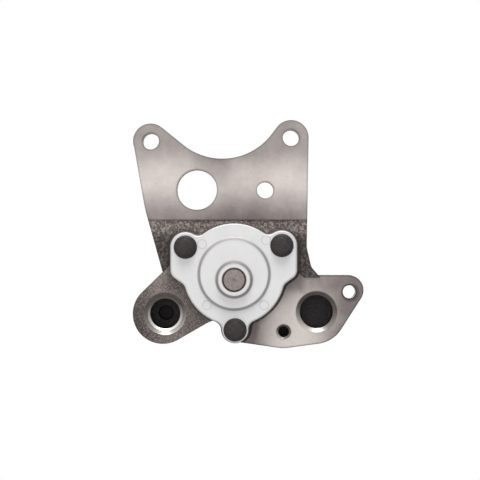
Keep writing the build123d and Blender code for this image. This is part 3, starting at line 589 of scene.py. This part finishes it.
def bush_bronze():
    """Bearing bronze with dark lead spots."""
    finish = Finish("bush_bronze", metallic=0.9)
    cloud = finish.noise(3.0, 3.0, 0.6)
    spots = finish.contrast(finish.pebbles(0.9), 0.08, 0.22)
    colour = finish.mix(cloud, (0.42, 0.24, 0.10), (0.56, 0.34, 0.15))
    colour = finish.tinted(colour, spots * 0.25 + 0.75)
    return finish.finish(colour, 0.34 - cloud * 0.08, spots * 0.01)


def soft_copper():
    """Annealed copper, dulled and faintly marked by the tool."""
    finish = Finish("soft_copper", metallic=0.9)
    cloud = finish.noise(2.5, 4.0, 0.6)
    scuff = finish.noise(0.6, 2.0, 0.6, stretch=(2.5, 1, 0.4), shift=8.0)
    colour = finish.mix(cloud, (0.42, 0.17, 0.09), (0.62, 0.29, 0.17))
    colour = finish.tinted(colour, scuff * 0.2 + 0.9)
    return finish.finish(colour, scuff * 0.2 + 0.28, scuff * 0.012)


def coat(node, material):
    """Gives a CAD node its material, and leaves its mesh alone."""
    mesh = frame["nodes"][node].data
    mesh.materials.clear()
    mesh.materials.append(material)


# Mesh and geometry-node helpers

def new_piece(name, mesh):
    """An object at the origin that holds a mesh, a lamp or a camera."""
    piece = bpy.data.objects.new(name, mesh)
    bpy.context.scene.collection.objects.link(piece)
    return piece


class Tree:
    """A geometry-node tree with named inputs, ending in one plain result."""

    def __init__(self, name, inputs):
        self.tree = bpy.data.node_groups.new(name, "GeometryNodeTree")
        self.tree.interface.new_socket("Geometry", in_out="INPUT", socket_type="NodeSocketGeometry")
        self.sockets = {}
        for label, kind in inputs.items():
            made = self.tree.interface.new_socket(label, in_out="INPUT", socket_type="NodeSocket" + kind)
            self.sockets[label] = made.identifier
        self.tree.interface.new_socket("Geometry", in_out="OUTPUT", socket_type="NodeSocketGeometry")
        self.source = self.tree.nodes.new("NodeGroupInput")
        self.result = self.tree.nodes.new("NodeGroupOutput")

    def given(self, label):
        return self.source.outputs[label]

    def node(self, kind, settings=None, output=0, **inputs):
        """Adds one node and joins its inputs, named as their sockets with _ for a space."""
        made = self.tree.nodes.new(kind)
        for name, setting in (settings or {}).items():
            setattr(made, name, setting)
        for name, value in inputs.items():
            socket = made.inputs[name.replace("_", " ")]
            if isinstance(value, bpy.types.NodeSocket):
                self.tree.links.new(value, socket)
            else:
                socket.default_value = value
        return made.outputs[output]

    def end(self, geometry):
        """Makes the instances real, sets the material and joins the result."""
        real = self.node("GeometryNodeRealizeInstances", Geometry=geometry)
        coated = self.node("GeometryNodeSetMaterial", Geometry=real, Material=self.given("Material"))
        self.tree.links.new(coated, self.result.inputs[0])

    def made(self, name, base, **values):
        """The tree's result on a base mesh as a plain mesh object."""
        holder = new_piece(name + "_base", base)
        modifier = holder.modifiers.new("Repeat", "NODES")
        modifier.node_group = self.tree
        for label, value in values.items():
            modifier[self.sockets[label.replace("_", " ")]] = value
        view = bpy.context.evaluated_depsgraph_get()
        mesh = bpy.data.meshes.new_from_object(holder.evaluated_get(view))
        bpy.data.objects.remove(holder)
        mesh.name = name
        return new_piece(name, mesh)


def lathed(stations, steps):
    """A closed mesh turned about the y axis from (radius, y) stations in metres."""
    form = bmesh.new()
    rings = []
    for radius, y in stations:
        if radius == 0:
            rings.append([form.verts.new((0, y, 0))])
            continue
        ring = []
        for i in range(steps):
            turn = math.tau * i / steps
            ring.append(form.verts.new((radius * math.cos(turn), y, radius * math.sin(turn))))
        rings.append(ring)
    for first, second in zip(rings, rings[1:]):
        for i in range(steps):
            j = (i + 1) % steps
            corners = []
            for ring, k in ((first, i), (first, j), (second, j), (second, i)):
                corner = ring[k % len(ring)]
                if corner not in corners:
                    corners.append(corner)
            form.faces.new(corners)
    bmesh.ops.recalc_face_normals(form, faces=form.faces)
    return form


def ring_of(form, angles, radii, y):
    """A ring of points round the y axis, one radius for each angle."""
    return [form.verts.new((r * math.cos(a), y, r * math.sin(a))) for a, r in zip(angles, radii)]


def join_rings(form, rings, closed=True):
    """Four-sided faces between rings of as many points."""
    count = len(rings[0])
    for first, second in zip(rings, rings[1:]):
        for i in range(count if closed else count - 1):
            j = (i + 1) % count
            form.faces.new((first[i], first[j], second[j], second[i]))


def mesh_of(form, name, place, sharp_degrees):
    """The finished mesh, moved to its place in millimetres, its corners kept sharp."""
    bmesh.ops.recalc_face_normals(form, faces=form.faces)
    form.transform(Matrix.Translation((place[0] * MM, 0, place[1] * MM)))
    mesh = bpy.data.meshes.new(name)
    form.to_mesh(mesh)
    form.free()
    mesh.shade_smooth()
    mesh.set_sharp_from_angle(angle=math.radians(sharp_degrees))
    return mesh


def hexagon_head(form, flats, seat_y, top_y, bore_r):
    """A hexagon bar with the round crown that turning leaves on its corners, bored if bore_r isn't 0."""
    steps = 72
    crown_slope = math.radians(28)
    angles = [math.tau * i / steps for i in range(steps)]
    half = flats / 2
    corner = half / math.cos(math.pi / 6)
    corner_worn = 0.12 * MM
    crown_r = half * 0.94
    bar = []
    for angle in angles:
        off = (angle + math.pi / 6) % (math.pi / 3) - math.pi / 6
        bar.append(min(half / math.cos(off), corner - corner_worn))
    way = math.copysign(1, top_y - seat_y)
    rings = [ring_of(form, angles, bar, seat_y)]
    for share in (0.0, 0.25, 0.5, 0.75, 1.0):
        out = (corner - crown_r) * (1 - share)
        radii = [min(r, crown_r + out) for r in bar]
        rings.append(ring_of(form, angles, radii, top_y - way * out * math.tan(crown_slope)))
    if bore_r:
        bore = [ring_of(form, angles, [bore_r] * steps, y) for y in (top_y, seat_y)]
        join_rings(form, [*rings, *bore, rings[0]])
    else:
        join_rings(form, rings)
        form.faces.new(rings[0])
        form.faces.new(rings[-1])


# Sizes and colours that a user may change

def colour_property(name, description, default):
    return FloatVectorProperty(
        name=name, description=description, default=default, size=3, min=0.0, max=1.0, subtype="COLOR"
    )


def length_property(name, description, default_mm):
    return FloatProperty(
        name=name, description=description, default=default_mm * MM, min=0.0, unit="LENGTH", precision=5
    )


class PumpColours(bpy.types.PropertyGroup):
    """Colours of the pump's finishes"""

    # Ends of the cast skin's colour, between which its painted light and shade run
    cast_dark: colour_property("Cast skin, low", "Dark end of the cast skin, with its painted shade", (0.030, 0.023, 0.021))
    cast_light: colour_property("Cast skin, high", "Light end of the cast skin, with its painted light", (0.40, 0.34, 0.315))
    # Painted shade inside the passages
    hollow_shade: colour_property("Hollows, painted shade", "Inside of the passages", (0.012, 0.009, 0.009))
    # Ends of the milled iron's colour, between which its painted reflections run
    milled_dark: colour_property("Milled iron, dark", "Dark patches of milled iron", (0.155, 0.130, 0.126))
    milled_light: colour_property("Milled iron, light", "Light patches of milled iron", (0.60, 0.548, 0.518))
    # Painted shade and painted highlight of the countersinks
    mouth_painted_shade: colour_property("Countersink, painted shade", "Painted shade on the upper side of the countersinks", (0.12, 0.105, 0.10))
    mouth_painted_highlight: colour_property("Countersink, painted highlight", "Painted highlight at the foot of the countersinks", (0.80, 0.75, 0.71))
    # Painted shade on the walls of the drilled holes
    bored: colour_property("Bored walls", "Straight walls of the drilled holes", (0.10, 0.088, 0.082))
    cover_low: colour_property("Cover, dark", "Darker flow of the die-cast cover", (0.615, 0.610, 0.612))
    cover_high: colour_property("Cover, light", "Lighter flow of the die-cast cover", (0.735, 0.729, 0.729))
    # Painted shade at the cover's corners
    cover_shade: colour_property("Cover, painted shade", "Painted shade at the feet of the disc and hub", (0.16, 0.135, 0.125))
    bolt_dark: colour_property("Bolt, dark", "Blackening of the bolts", (0.011, 0.009, 0.009))
    bolt_light: colour_property("Bolt, worn", "Rubbed blackening of the bolts", (0.052, 0.043, 0.043))
    shaft_dark: colour_property("Shaft, stained", "Stained steel of the shaft", (0.125, 0.103, 0.098))
    shaft_light: colour_property("Shaft, clean", "Clean steel of the shaft", (0.235, 0.200, 0.195))
    floor: colour_property("Floor", "Pale floor under the pump", (0.70, 0.70, 0.70))


class PumpSizes(bpy.types.PropertyGroup):
    """Sizes of the pump's fine pieces"""

    bolt_circle: length_property("Bolt circle", "Radius of the cover bolts' circle", 36.0)
    bolt_turn: FloatProperty(
        name="First bolt", description="Angle of the first cover bolt", default=math.radians(31), unit="ROTATION"
    )
    bolt_flange: length_property("Bolt flange", "Radius of the round flange under each head", 7.55)
    bolt_flats: length_property("Bolt flats", "Size across the flats of each head", 10.0)
    bolt_flange_height: length_property("Bolt flange height", "Height of the flange under each head", 1.8)
    bolt_head: length_property("Bolt head", "Height of head and flange together", 6.0)
    nut_flats: length_property("Nut flats", "Size across the flats of the gear's nut", 19.0)
    plug_flats: length_property("Plug flats", "Size across the flats of the relief valve's plug", 22.0)
    spring_wire: length_property("Spring wire", "Diameter of the relief spring's wire", 1.6)
    spring_turns: IntProperty(name="Spring turns", description="Turns of the relief spring", default=8, min=4)
    mark_radius: length_property("Ejector mark", "Radius of the ejector pins' marks", 2.9)
    mark_height: length_property("Ejector mark height", "How far a mark's rim stands proud", 0.16)
    gear_teeth: IntProperty(name="Gear teeth", description="Teeth of the drive gear", default=21, min=9)
    gear_module: length_property("Gear module", "Pitch diameter divided by the number of teeth", 2.5)
    gear_break: length_property("Gear edge break", "Chamfer at the ends of the teeth", 0.5)
    floor_side: length_property("Floor side", "Length of the floor's sides", 700.0)
    floor_drop: length_property("Floor depth", "How far the floor lies below the origin", 250.0)
    camera_reach: length_property("Camera distance", "From the camera to the mounting face", 1000.0)


# Pieces

class PUMP_OT_casting(bpy.types.Operator):
    """Finish the cast iron body"""

    bl_idname = "pump.casting"
    bl_label = "Pump body"

    def execute(self, context):
        coat("pump_body", cast_iron(context.scene.pump_colours))
        return {"FINISHED"}


class PUMP_OT_cover(bpy.types.Operator):
    """Finish the die-cast cover and add the ejector pins' marks"""

    bl_idname = "pump.cover"
    bl_label = "Cover"

    def execute(self, context):
        sizes = context.scene.pump_sizes
        finish = cover_aluminium(context.scene.pump_colours)
        coat("front_cover", finish)

        points = bpy.data.meshes.new("ejector_mark_places")
        places = [(x * MM, COVER_FRONT_Y * MM, z * MM) for x, z in EJECTOR_MARKS_AT]
        points.from_pydata(places, [], [])
        tree = Tree("Ejector marks", {"Mark Radius": "Float", "Rim Height": "Float", "Material": "Material"})
        ring = tree.node("GeometryNodeCurvePrimitiveCircle", Resolution=48, Radius=tree.given("Mark Radius"))
        rim = tree.node("GeometryNodeCurvePrimitiveCircle", Resolution=8, Radius=tree.given("Rim Height"))
        bead = tree.node("GeometryNodeCurveToMesh", Curve=ring, Profile_Curve=rim)
        stood = tree.node("GeometryNodeTransform", Geometry=bead, Rotation=(math.radians(90), 0, 0))
        marks = tree.node("GeometryNodeInstanceOnPoints", Points=tree.source.outputs[0], Instance=stood)
        tree.end(marks)
        piece = tree.made(
            "ejector_marks", points, Mark_Radius=sizes.mark_radius, Rim_Height=sizes.mark_height, Material=finish
        )
        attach(piece, "housing")
        return {"FINISHED"}


def bolt_mesh(sizes):
    """A hexagon bolt head on its round flange, its seat at y = 0 and its shank along +y."""
    flange = sizes.bolt_flange
    seat = sizes.bolt_flange_height
    shank_r = 2.95 * MM
    tip_r = 2.2 * MM
    length = 20 * MM
    form = lathed(
        [
            (0, length),
            (tip_r, length),
            (shank_r, length - 0.8 * MM),
            (shank_r, 0),
            (flange - 0.35 * MM, 0),
            (flange, -0.25 * MM),
            (flange, -0.75 * MM),
            (flange - 0.25 * MM, -1.05 * MM),
            (flange - 1.5 * MM, -seat),
            (0, -seat),
        ],
        48,
    )
    hexagon_head(form, sizes.bolt_flats, -seat, -sizes.bolt_head, 0)
    return mesh_of(form, "cover_bolt_form", (0, 0), 32)


class PUMP_OT_cover_bolts(bpy.types.Operator):
    """Set the three flanged bolts round the cover"""

    bl_idname = "pump.cover_bolts"
    bl_label = "Cover bolts"

    def execute(self, context):
        sizes = context.scene.pump_sizes
        form = new_piece("cover_bolt_form", bolt_mesh(sizes))
        inputs = {"Bolt": "Object", "Circle Radius": "Float", "First Angle": "Float", "Centre": "Vector"}
        tree = Tree("Cover bolts", {**inputs, "Material": "Material"})
        circle = tree.node("GeometryNodeMeshCircle", Vertices=3, Radius=tree.given("Circle Radius"))
        angle = tree.node("ShaderNodeCombineXYZ", Z=tree.given("First Angle"))
        turned = tree.node("GeometryNodeTransform", Geometry=circle, Rotation=angle)
        stood = tree.node("GeometryNodeTransform", Geometry=turned, Rotation=(math.radians(90), 0, 0))
        bolt = tree.node("GeometryNodeObjectInfo", output="Geometry", Object=tree.given("Bolt"))
        bolts = tree.node("GeometryNodeInstanceOnPoints", Points=stood, Instance=bolt)
        placed = tree.node("GeometryNodeTransform", Geometry=bolts, Translation=tree.given("Centre"))
        tree.end(placed)
        centre = (CHAMBER_AT[0] * MM, COVER_FRONT_Y * MM, CHAMBER_AT[1] * MM)
        piece = tree.made(
            "cover_bolts",
            bpy.data.meshes.new("cover_bolts"),
            Bolt=form,
            Circle_Radius=sizes.bolt_circle,
            First_Angle=sizes.bolt_turn,
            Centre=centre,
            Material=black_steel(context.scene.pump_colours),
        )
        bpy.data.objects.remove(form)
        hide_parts("cover_bolt_upper_right", "cover_bolt_upper_left", "cover_bolt_bottom")
        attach(piece, "housing")
        return {"FINISHED"}


class PUMP_OT_shaft_train(bpy.types.Operator):
    """Finish the shaft, its bush, pin, key, washer and nut"""

    bl_idname = "pump.shaft_train"
    bl_label = "Shaft and fastenings"

    def execute(self, context):
        colours = context.scene.pump_colours
        steel = turned_steel(colours)
        for node in ("drive_shaft", "rotor_drive_pin", "gear_key", "dowel_left", "dowel_right"):
            coat(node, steel)
        coat("gear_washer", zinc_steel())
        nut = nut_mesh(context.scene.pump_sizes)
        add_piece("gear_nut_dressed", nut, black_steel(colours), "drive", "gear_nut")
        coat("rear_bush", bush_bronze())
        return {"FINISHED"}


class PUMP_OT_rotors(bpy.types.Operator):
    """Finish the two rotors"""

    bl_idname = "pump.rotors"
    bl_label = "Rotors"

    def execute(self, context):
        sintered = rotor_steel()
        coat("inner_rotor", sintered)
        coat("outer_rotor", sintered)
        return {"FINISHED"}


def tooth_mesh(sizes):
    """One tooth of the gear with its share of rim, web and hub, open where the next one joins."""
    teeth = sizes.gear_teeth
    module = sizes.gear_module
    pitch_r = module * teeth / 2
    pressure = math.radians(20)
    base_r = pitch_r * math.cos(pressure)
    tip_r = pitch_r + module
    root_r = pitch_r - 1.25 * module
    half_tooth = math.pi / (2 * teeth) + math.tan(pressure) - pressure
    half_pitch = math.pi / teeth
    flank_steps = 6
    flank = []
    for step in range(flank_steps + 1):
        radius = base_r + (tip_r - base_r) * step / flank_steps
        lean = math.acos(min(1.0, base_r / radius))
        flank.append((half_tooth - math.tan(lean) + lean, radius))
    foot = flank[0][0]
    right = [(half_pitch, root_r), (foot + 0.021, root_r), (foot + 0.006, root_r + 0.35 * MM), *flank]
    profile = [(-a, r) for a, r in right] + [(0.0, tip_r)] + [(a, r) for a, r in reversed(right)]
    angles = [a for a, _ in profile]
    outer = [r for _, r in profile]
    broken = [max(root_r - sizes.gear_break * 0.3, r - sizes.gear_break) for r in outer]
    front = GEAR_FRONT_Y * MM
    back = GEAR_BACK_Y * MM
    bore_r = 7.05 * MM
    bevel = 0.4 * MM
    rim_r = root_r - 3.5 * MM
    hub_r = 12.5 * MM
    web = front + 3.0 * MM
    round_r = 0.8 * MM

    def even(radius):
        return [radius] * len(angles)

    form = bmesh.new()
    stations = [
        (even(bore_r), front + bevel),
        (even(bore_r + bevel), front),
        (even(hub_r - bevel), front),
        (even(hub_r), front + bevel),
        (even(hub_r), web - round_r),
        (even(hub_r + round_r), web),
        (even(rim_r - round_r), web),
        (even(rim_r), web - round_r),
        (even(rim_r), front + bevel),
        (even(rim_r + bevel), front),
        (broken, front),
        (outer, front + sizes.gear_break),
    ]
    mirrored = [(radii, front + back - y) for radii, y in reversed(stations)]
    rings = [ring_of(form, angles, radii, y) for radii, y in stations + mirrored]
    join_rings(form, [*rings, rings[0]], closed=False)
    return mesh_of(form, "gear_tooth", (0, 0), 180)


class PUMP_OT_drive_gear(bpy.types.Operator):
    """Repeat one tooth round the shaft to make the drive gear"""

    bl_idname = "pump.drive_gear"
    bl_label = "Drive gear"

    def execute(self, context):
        sizes = context.scene.pump_sizes
        inputs = {"Teeth": "Int", "Pitch Angle": "Float", "Centre": "Vector", "Material": "Material"}
        tree = Tree("Drive gear", inputs)
        spots = tree.node("GeometryNodeMeshLine", Count=tree.given("Teeth"), Offset=(0, 0, 0))
        index = tree.node("GeometryNodeInputIndex")
        turn = tree.node("ShaderNodeMath", {"operation": "MULTIPLY"}, Value=index)
        tree.tree.links.new(tree.given("Pitch Angle"), turn.node.inputs[1])
        angle = tree.node("ShaderNodeCombineXYZ", Y=turn)
        tooth = tree.source.outputs[0]
        teeth = tree.node("GeometryNodeInstanceOnPoints", Points=spots, Instance=tooth, Rotation=angle)
        placed = tree.node("GeometryNodeTransform", Geometry=teeth, Translation=tree.given("Centre"))
        tree.end(placed)
        piece = tree.made(
            "gear_teeth_and_web",
            tooth_mesh(sizes),
            Teeth=sizes.gear_teeth,
            Pitch_Angle=math.tau / sizes.gear_teeth,
            Centre=(SHAFT_AT[0] * MM, 0, SHAFT_AT[1] * MM),
            Material=gear_steel(),
        )
        form = bmesh.new()
        form.from_mesh(piece.data)
        bmesh.ops.remove_doubles(form, verts=form.verts, dist=0.002 * MM)
        bmesh.ops.recalc_face_normals(form, faces=form.faces)
        form.to_mesh(piece.data)
        form.free()
        piece.data.set_sharp_from_angle(angle=math.radians(28))
        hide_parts("drive_gear")
        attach(piece, "drive")
        return {"FINISHED"}


def add_piece(name, mesh, finish, body, node):
    """A dressed piece that stands for one CAD node."""
    mesh.materials.append(finish)
    piece = new_piece(name, mesh)
    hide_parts(node)
    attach(piece, body)
    return piece


def nut_mesh(sizes):
    """The gear's nut: a hexagon with crowned corners and a plain bore."""
    bore_r = 6.06 * MM
    form = bmesh.new()
    hexagon_head(form, sizes.nut_flats, NUT_FRONT_Y * MM, NUT_BACK_Y * MM, bore_r)
    return mesh_of(form, "gear_nut_dressed", SHAFT_AT, 32)


def plug_mesh(sizes):
    """The relief valve's plug: a crowned head with a turned dish, its collar, shank and spring well."""
    seat = PLUG_SEAT_Y * MM
    collar = seat + 0.1 * MM
    top = PLUG_TOP_Y * MM
    collar_r = 10.6 * MM
    shank_r = 8.94 * MM
    shank_end = 40.0 * MM
    bevel = 0.8 * MM
    well_r = 5.2 * MM
    well_floor = 43.0 * MM
    dish_r = 7.2 * MM
    dish_depth = 0.5 * MM
    steps = 72
    form = lathed(
        [
            (0, collar),
            (collar_r, collar),
            (collar_r, seat),
            (shank_r, seat),
            (shank_r, shank_end + bevel),
            (shank_r - bevel, shank_end),
            (well_r, shank_end),
            (well_r, well_floor),
            (0, well_floor),
        ],
        steps,
    )
    hexagon_head(form, sizes.plug_flats, collar, top, dish_r)
    dish = lathed([(dish_r, top), (dish_r - dish_depth, top - dish_depth), (0, top - dish_depth)], steps)
    dished = bpy.data.meshes.new("plug_dish")
    dish.to_mesh(dished)
    dish.free()
    form.from_mesh(dished)
    bpy.data.meshes.remove(dished)
    bmesh.ops.remove_doubles(form, verts=form.verts, dist=0.002 * MM)
    return mesh_of(form, "relief_plug_dressed", DELIVERY_AT, 32)


def coil_mesh(sizes, outer_r, front, back):
    """The relief valve's coil of round wire, its end turns closed and ground flat."""
    wire_r = sizes.spring_wire / 2
    turns = sizes.spring_turns
    closed = 2.1 * wire_r
    free = (back - front - wire_r - 2 * closed) / (turns - 2)
    steps = 28
    corners = 12
    sides = [math.tau * i / corners for i in range(corners)]
    form = bmesh.new()
    rings = []
    for step in range(turns * steps + 1):
        turned = step / steps
        middle = min(max(turned - 1, 0), turns - 2)
        y = front + wire_r / 2 + free * middle + closed * (turned - middle)
        turn = math.tau * turned
        ring = []
        for side in sides:
            radius = outer_r - wire_r + wire_r * math.cos(side)
            depth = min(max(y + wire_r * math.sin(side), front), back)
            ring.append(form.verts.new((radius * math.cos(turn), depth, radius * math.sin(turn))))
        rings.append(ring)
    join_rings(form, rings)
    form.faces.new(rings[0])
    form.faces.new(rings[-1])
    return mesh_of(form, "relief_coil", DELIVERY_AT, 50)


class PUMP_OT_relief_valve(bpy.types.Operator):
    """Finish the relief valve"""

    bl_idname = "pump.relief_valve"
    bl_label = "Relief valve"

    def execute(self, context):
        sizes = context.scene.pump_sizes
        coat("relief_plunger", ground_steel())
        low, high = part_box("relief_spring")
        travel = next(joint for joint in frame["joints"] if joint["name"] == "relief_slide")["range_m"][1]
        wire = coil_mesh(sizes, (high[0] - low[0]) / 2, low[1], high[1])
        coil = add_piece("relief_coil", wire, spring_steel(), "housing", "relief_spring")
        keep = 1 - travel / (high[1] - low[1])
        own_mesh(coil)
        add_piece("relief_plug_dressed", plug_mesh(sizes), zinc_steel(), "housing", "relief_plug")
        coat("relief_washer", soft_copper())
        return {"FINISHED"}


# Floor, light and camera

def soft_lamp(name, place, size, watts):
    """A rectangular lamp that faces the pump."""
    lamp = bpy.data.lights.new(name, "AREA")
    lamp.shape = "RECTANGLE"
    lamp.size, lamp.size_y = size
    lamp.energy = watts
    holder = new_piece(name, lamp)
    holder.location = place
    holder.rotation_euler = (Vector(LAMPS_FACE) - Vector(place)).to_track_quat("-Z", "Y").to_euler()


def white_surroundings():
    """A world that is plain grey light, and white to the camera and to bright metal."""
    world = bpy.data.worlds.new("soft_surroundings")
    world.use_nodes = True
    tree = world.node_tree
    shader = tree.nodes["Background"]
    ray = tree.nodes.new("ShaderNodeLightPath")
    seen = tree.nodes.new("ShaderNodeMath")
    seen.operation = "MAXIMUM"
    clear = tree.nodes.new("ShaderNodeMath")
    clear.operation = "MAXIMUM"
    level = tree.nodes.new("ShaderNodeMapRange")
    level.inputs["To Min"].default_value = SURROUNDING_LIGHT
    level.inputs["To Max"].default_value = SEEN_BACKGROUND
    tree.links.new(ray.outputs["Is Camera Ray"], seen.inputs[0])
    tree.links.new(ray.outputs["Is Glossy Ray"], seen.inputs[1])
    tree.links.new(seen.outputs[0], clear.inputs[0])
    tree.links.new(ray.outputs["Is Transmission Ray"], clear.inputs[1])
    tree.links.new(clear.outputs[0], level.inputs["Value"])
    tree.links.new(level.outputs["Result"], shader.inputs["Strength"])
    shader.inputs["Color"].default_value = (1, 1, 1, 1)
    bpy.context.scene.world = world


class PUMP_OT_stage(bpy.types.Operator):
    """Set the floor, soft lamps and camera"""

    bl_idname = "pump.stage"
    bl_label = "Stage"

    def execute(self, context):
        sizes = context.scene.pump_sizes
        middle_x, middle_z = VIEW_MIDDLE
        bpy.ops.mesh.primitive_plane_add(size=sizes.floor_side, location=(middle_x, 0, -sizes.floor_drop))
        floor = context.object
        floor.name = "floor"
        paint = Finish("pale_floor")
        grain = paint.noise(3.0, 2.0, 0.5)
        floor.data.materials.append(paint.finish(context.scene.pump_colours.floor, 0.85 + grain * 0.05))

        for lamp in LAMPS:
            soft_lamp(*lamp)
        white_surroundings()

        lens = bpy.data.cameras.new("camera")
        lens.sensor_width = 36.0
        lens.lens = LENS_MM
        lens.clip_start = 0.01
        camera = new_piece("camera", lens)
        camera.location = (middle_x, -sizes.camera_reach, middle_z)
        camera.rotation_euler = (math.radians(90), 0, 0)
        context.scene.camera = camera
        context.scene.view_settings.view_transform = "Standard"
        return {"FINISHED"}


PIECES = (
    PUMP_OT_casting,
    PUMP_OT_cover,
    PUMP_OT_cover_bolts,
    PUMP_OT_shaft_train,
    PUMP_OT_rotors,
    PUMP_OT_drive_gear,
    PUMP_OT_relief_valve,
    PUMP_OT_stage,
)


class PUMP_PT_panel(bpy.types.Panel):
    """The pump's pieces, sizes and colours"""

    bl_label = "Oil pump"
    bl_idname = "PUMP_PT_panel"
    bl_space_type = "VIEW_3D"
    bl_region_type = "UI"
    bl_category = "Oil pump"

    def draw(self, context):
        for piece in PIECES:
            self.layout.operator(piece.bl_idname)
        for group in (context.scene.pump_sizes, context.scene.pump_colours):
            column = self.layout.column(align=True)
            for name in group.__annotations__:
                column.prop(group, name)


CLASSES = (PumpColours, PumpSizes, *PIECES, PUMP_PT_panel)


def register():
    for made in CLASSES:
        bpy.utils.register_class(made)
    bpy.types.Scene.pump_colours = PointerProperty(type=PumpColours)
    bpy.types.Scene.pump_sizes = PointerProperty(type=PumpSizes)


def unregister():
    del bpy.types.Scene.pump_sizes
    del bpy.types.Scene.pump_colours
    for made in reversed(CLASSES):
        bpy.utils.unregister_class(made)


def main():
    register()
    bpy.ops.pump.casting()
    bpy.ops.pump.cover()
    bpy.ops.pump.cover_bolts()
    bpy.ops.pump.shaft_train()
    bpy.ops.pump.rotors()
    bpy.ops.pump.drive_gear()
    bpy.ops.pump.relief_valve()
    bpy.ops.pump.stage()


if __name__ == "__main__":
    main()
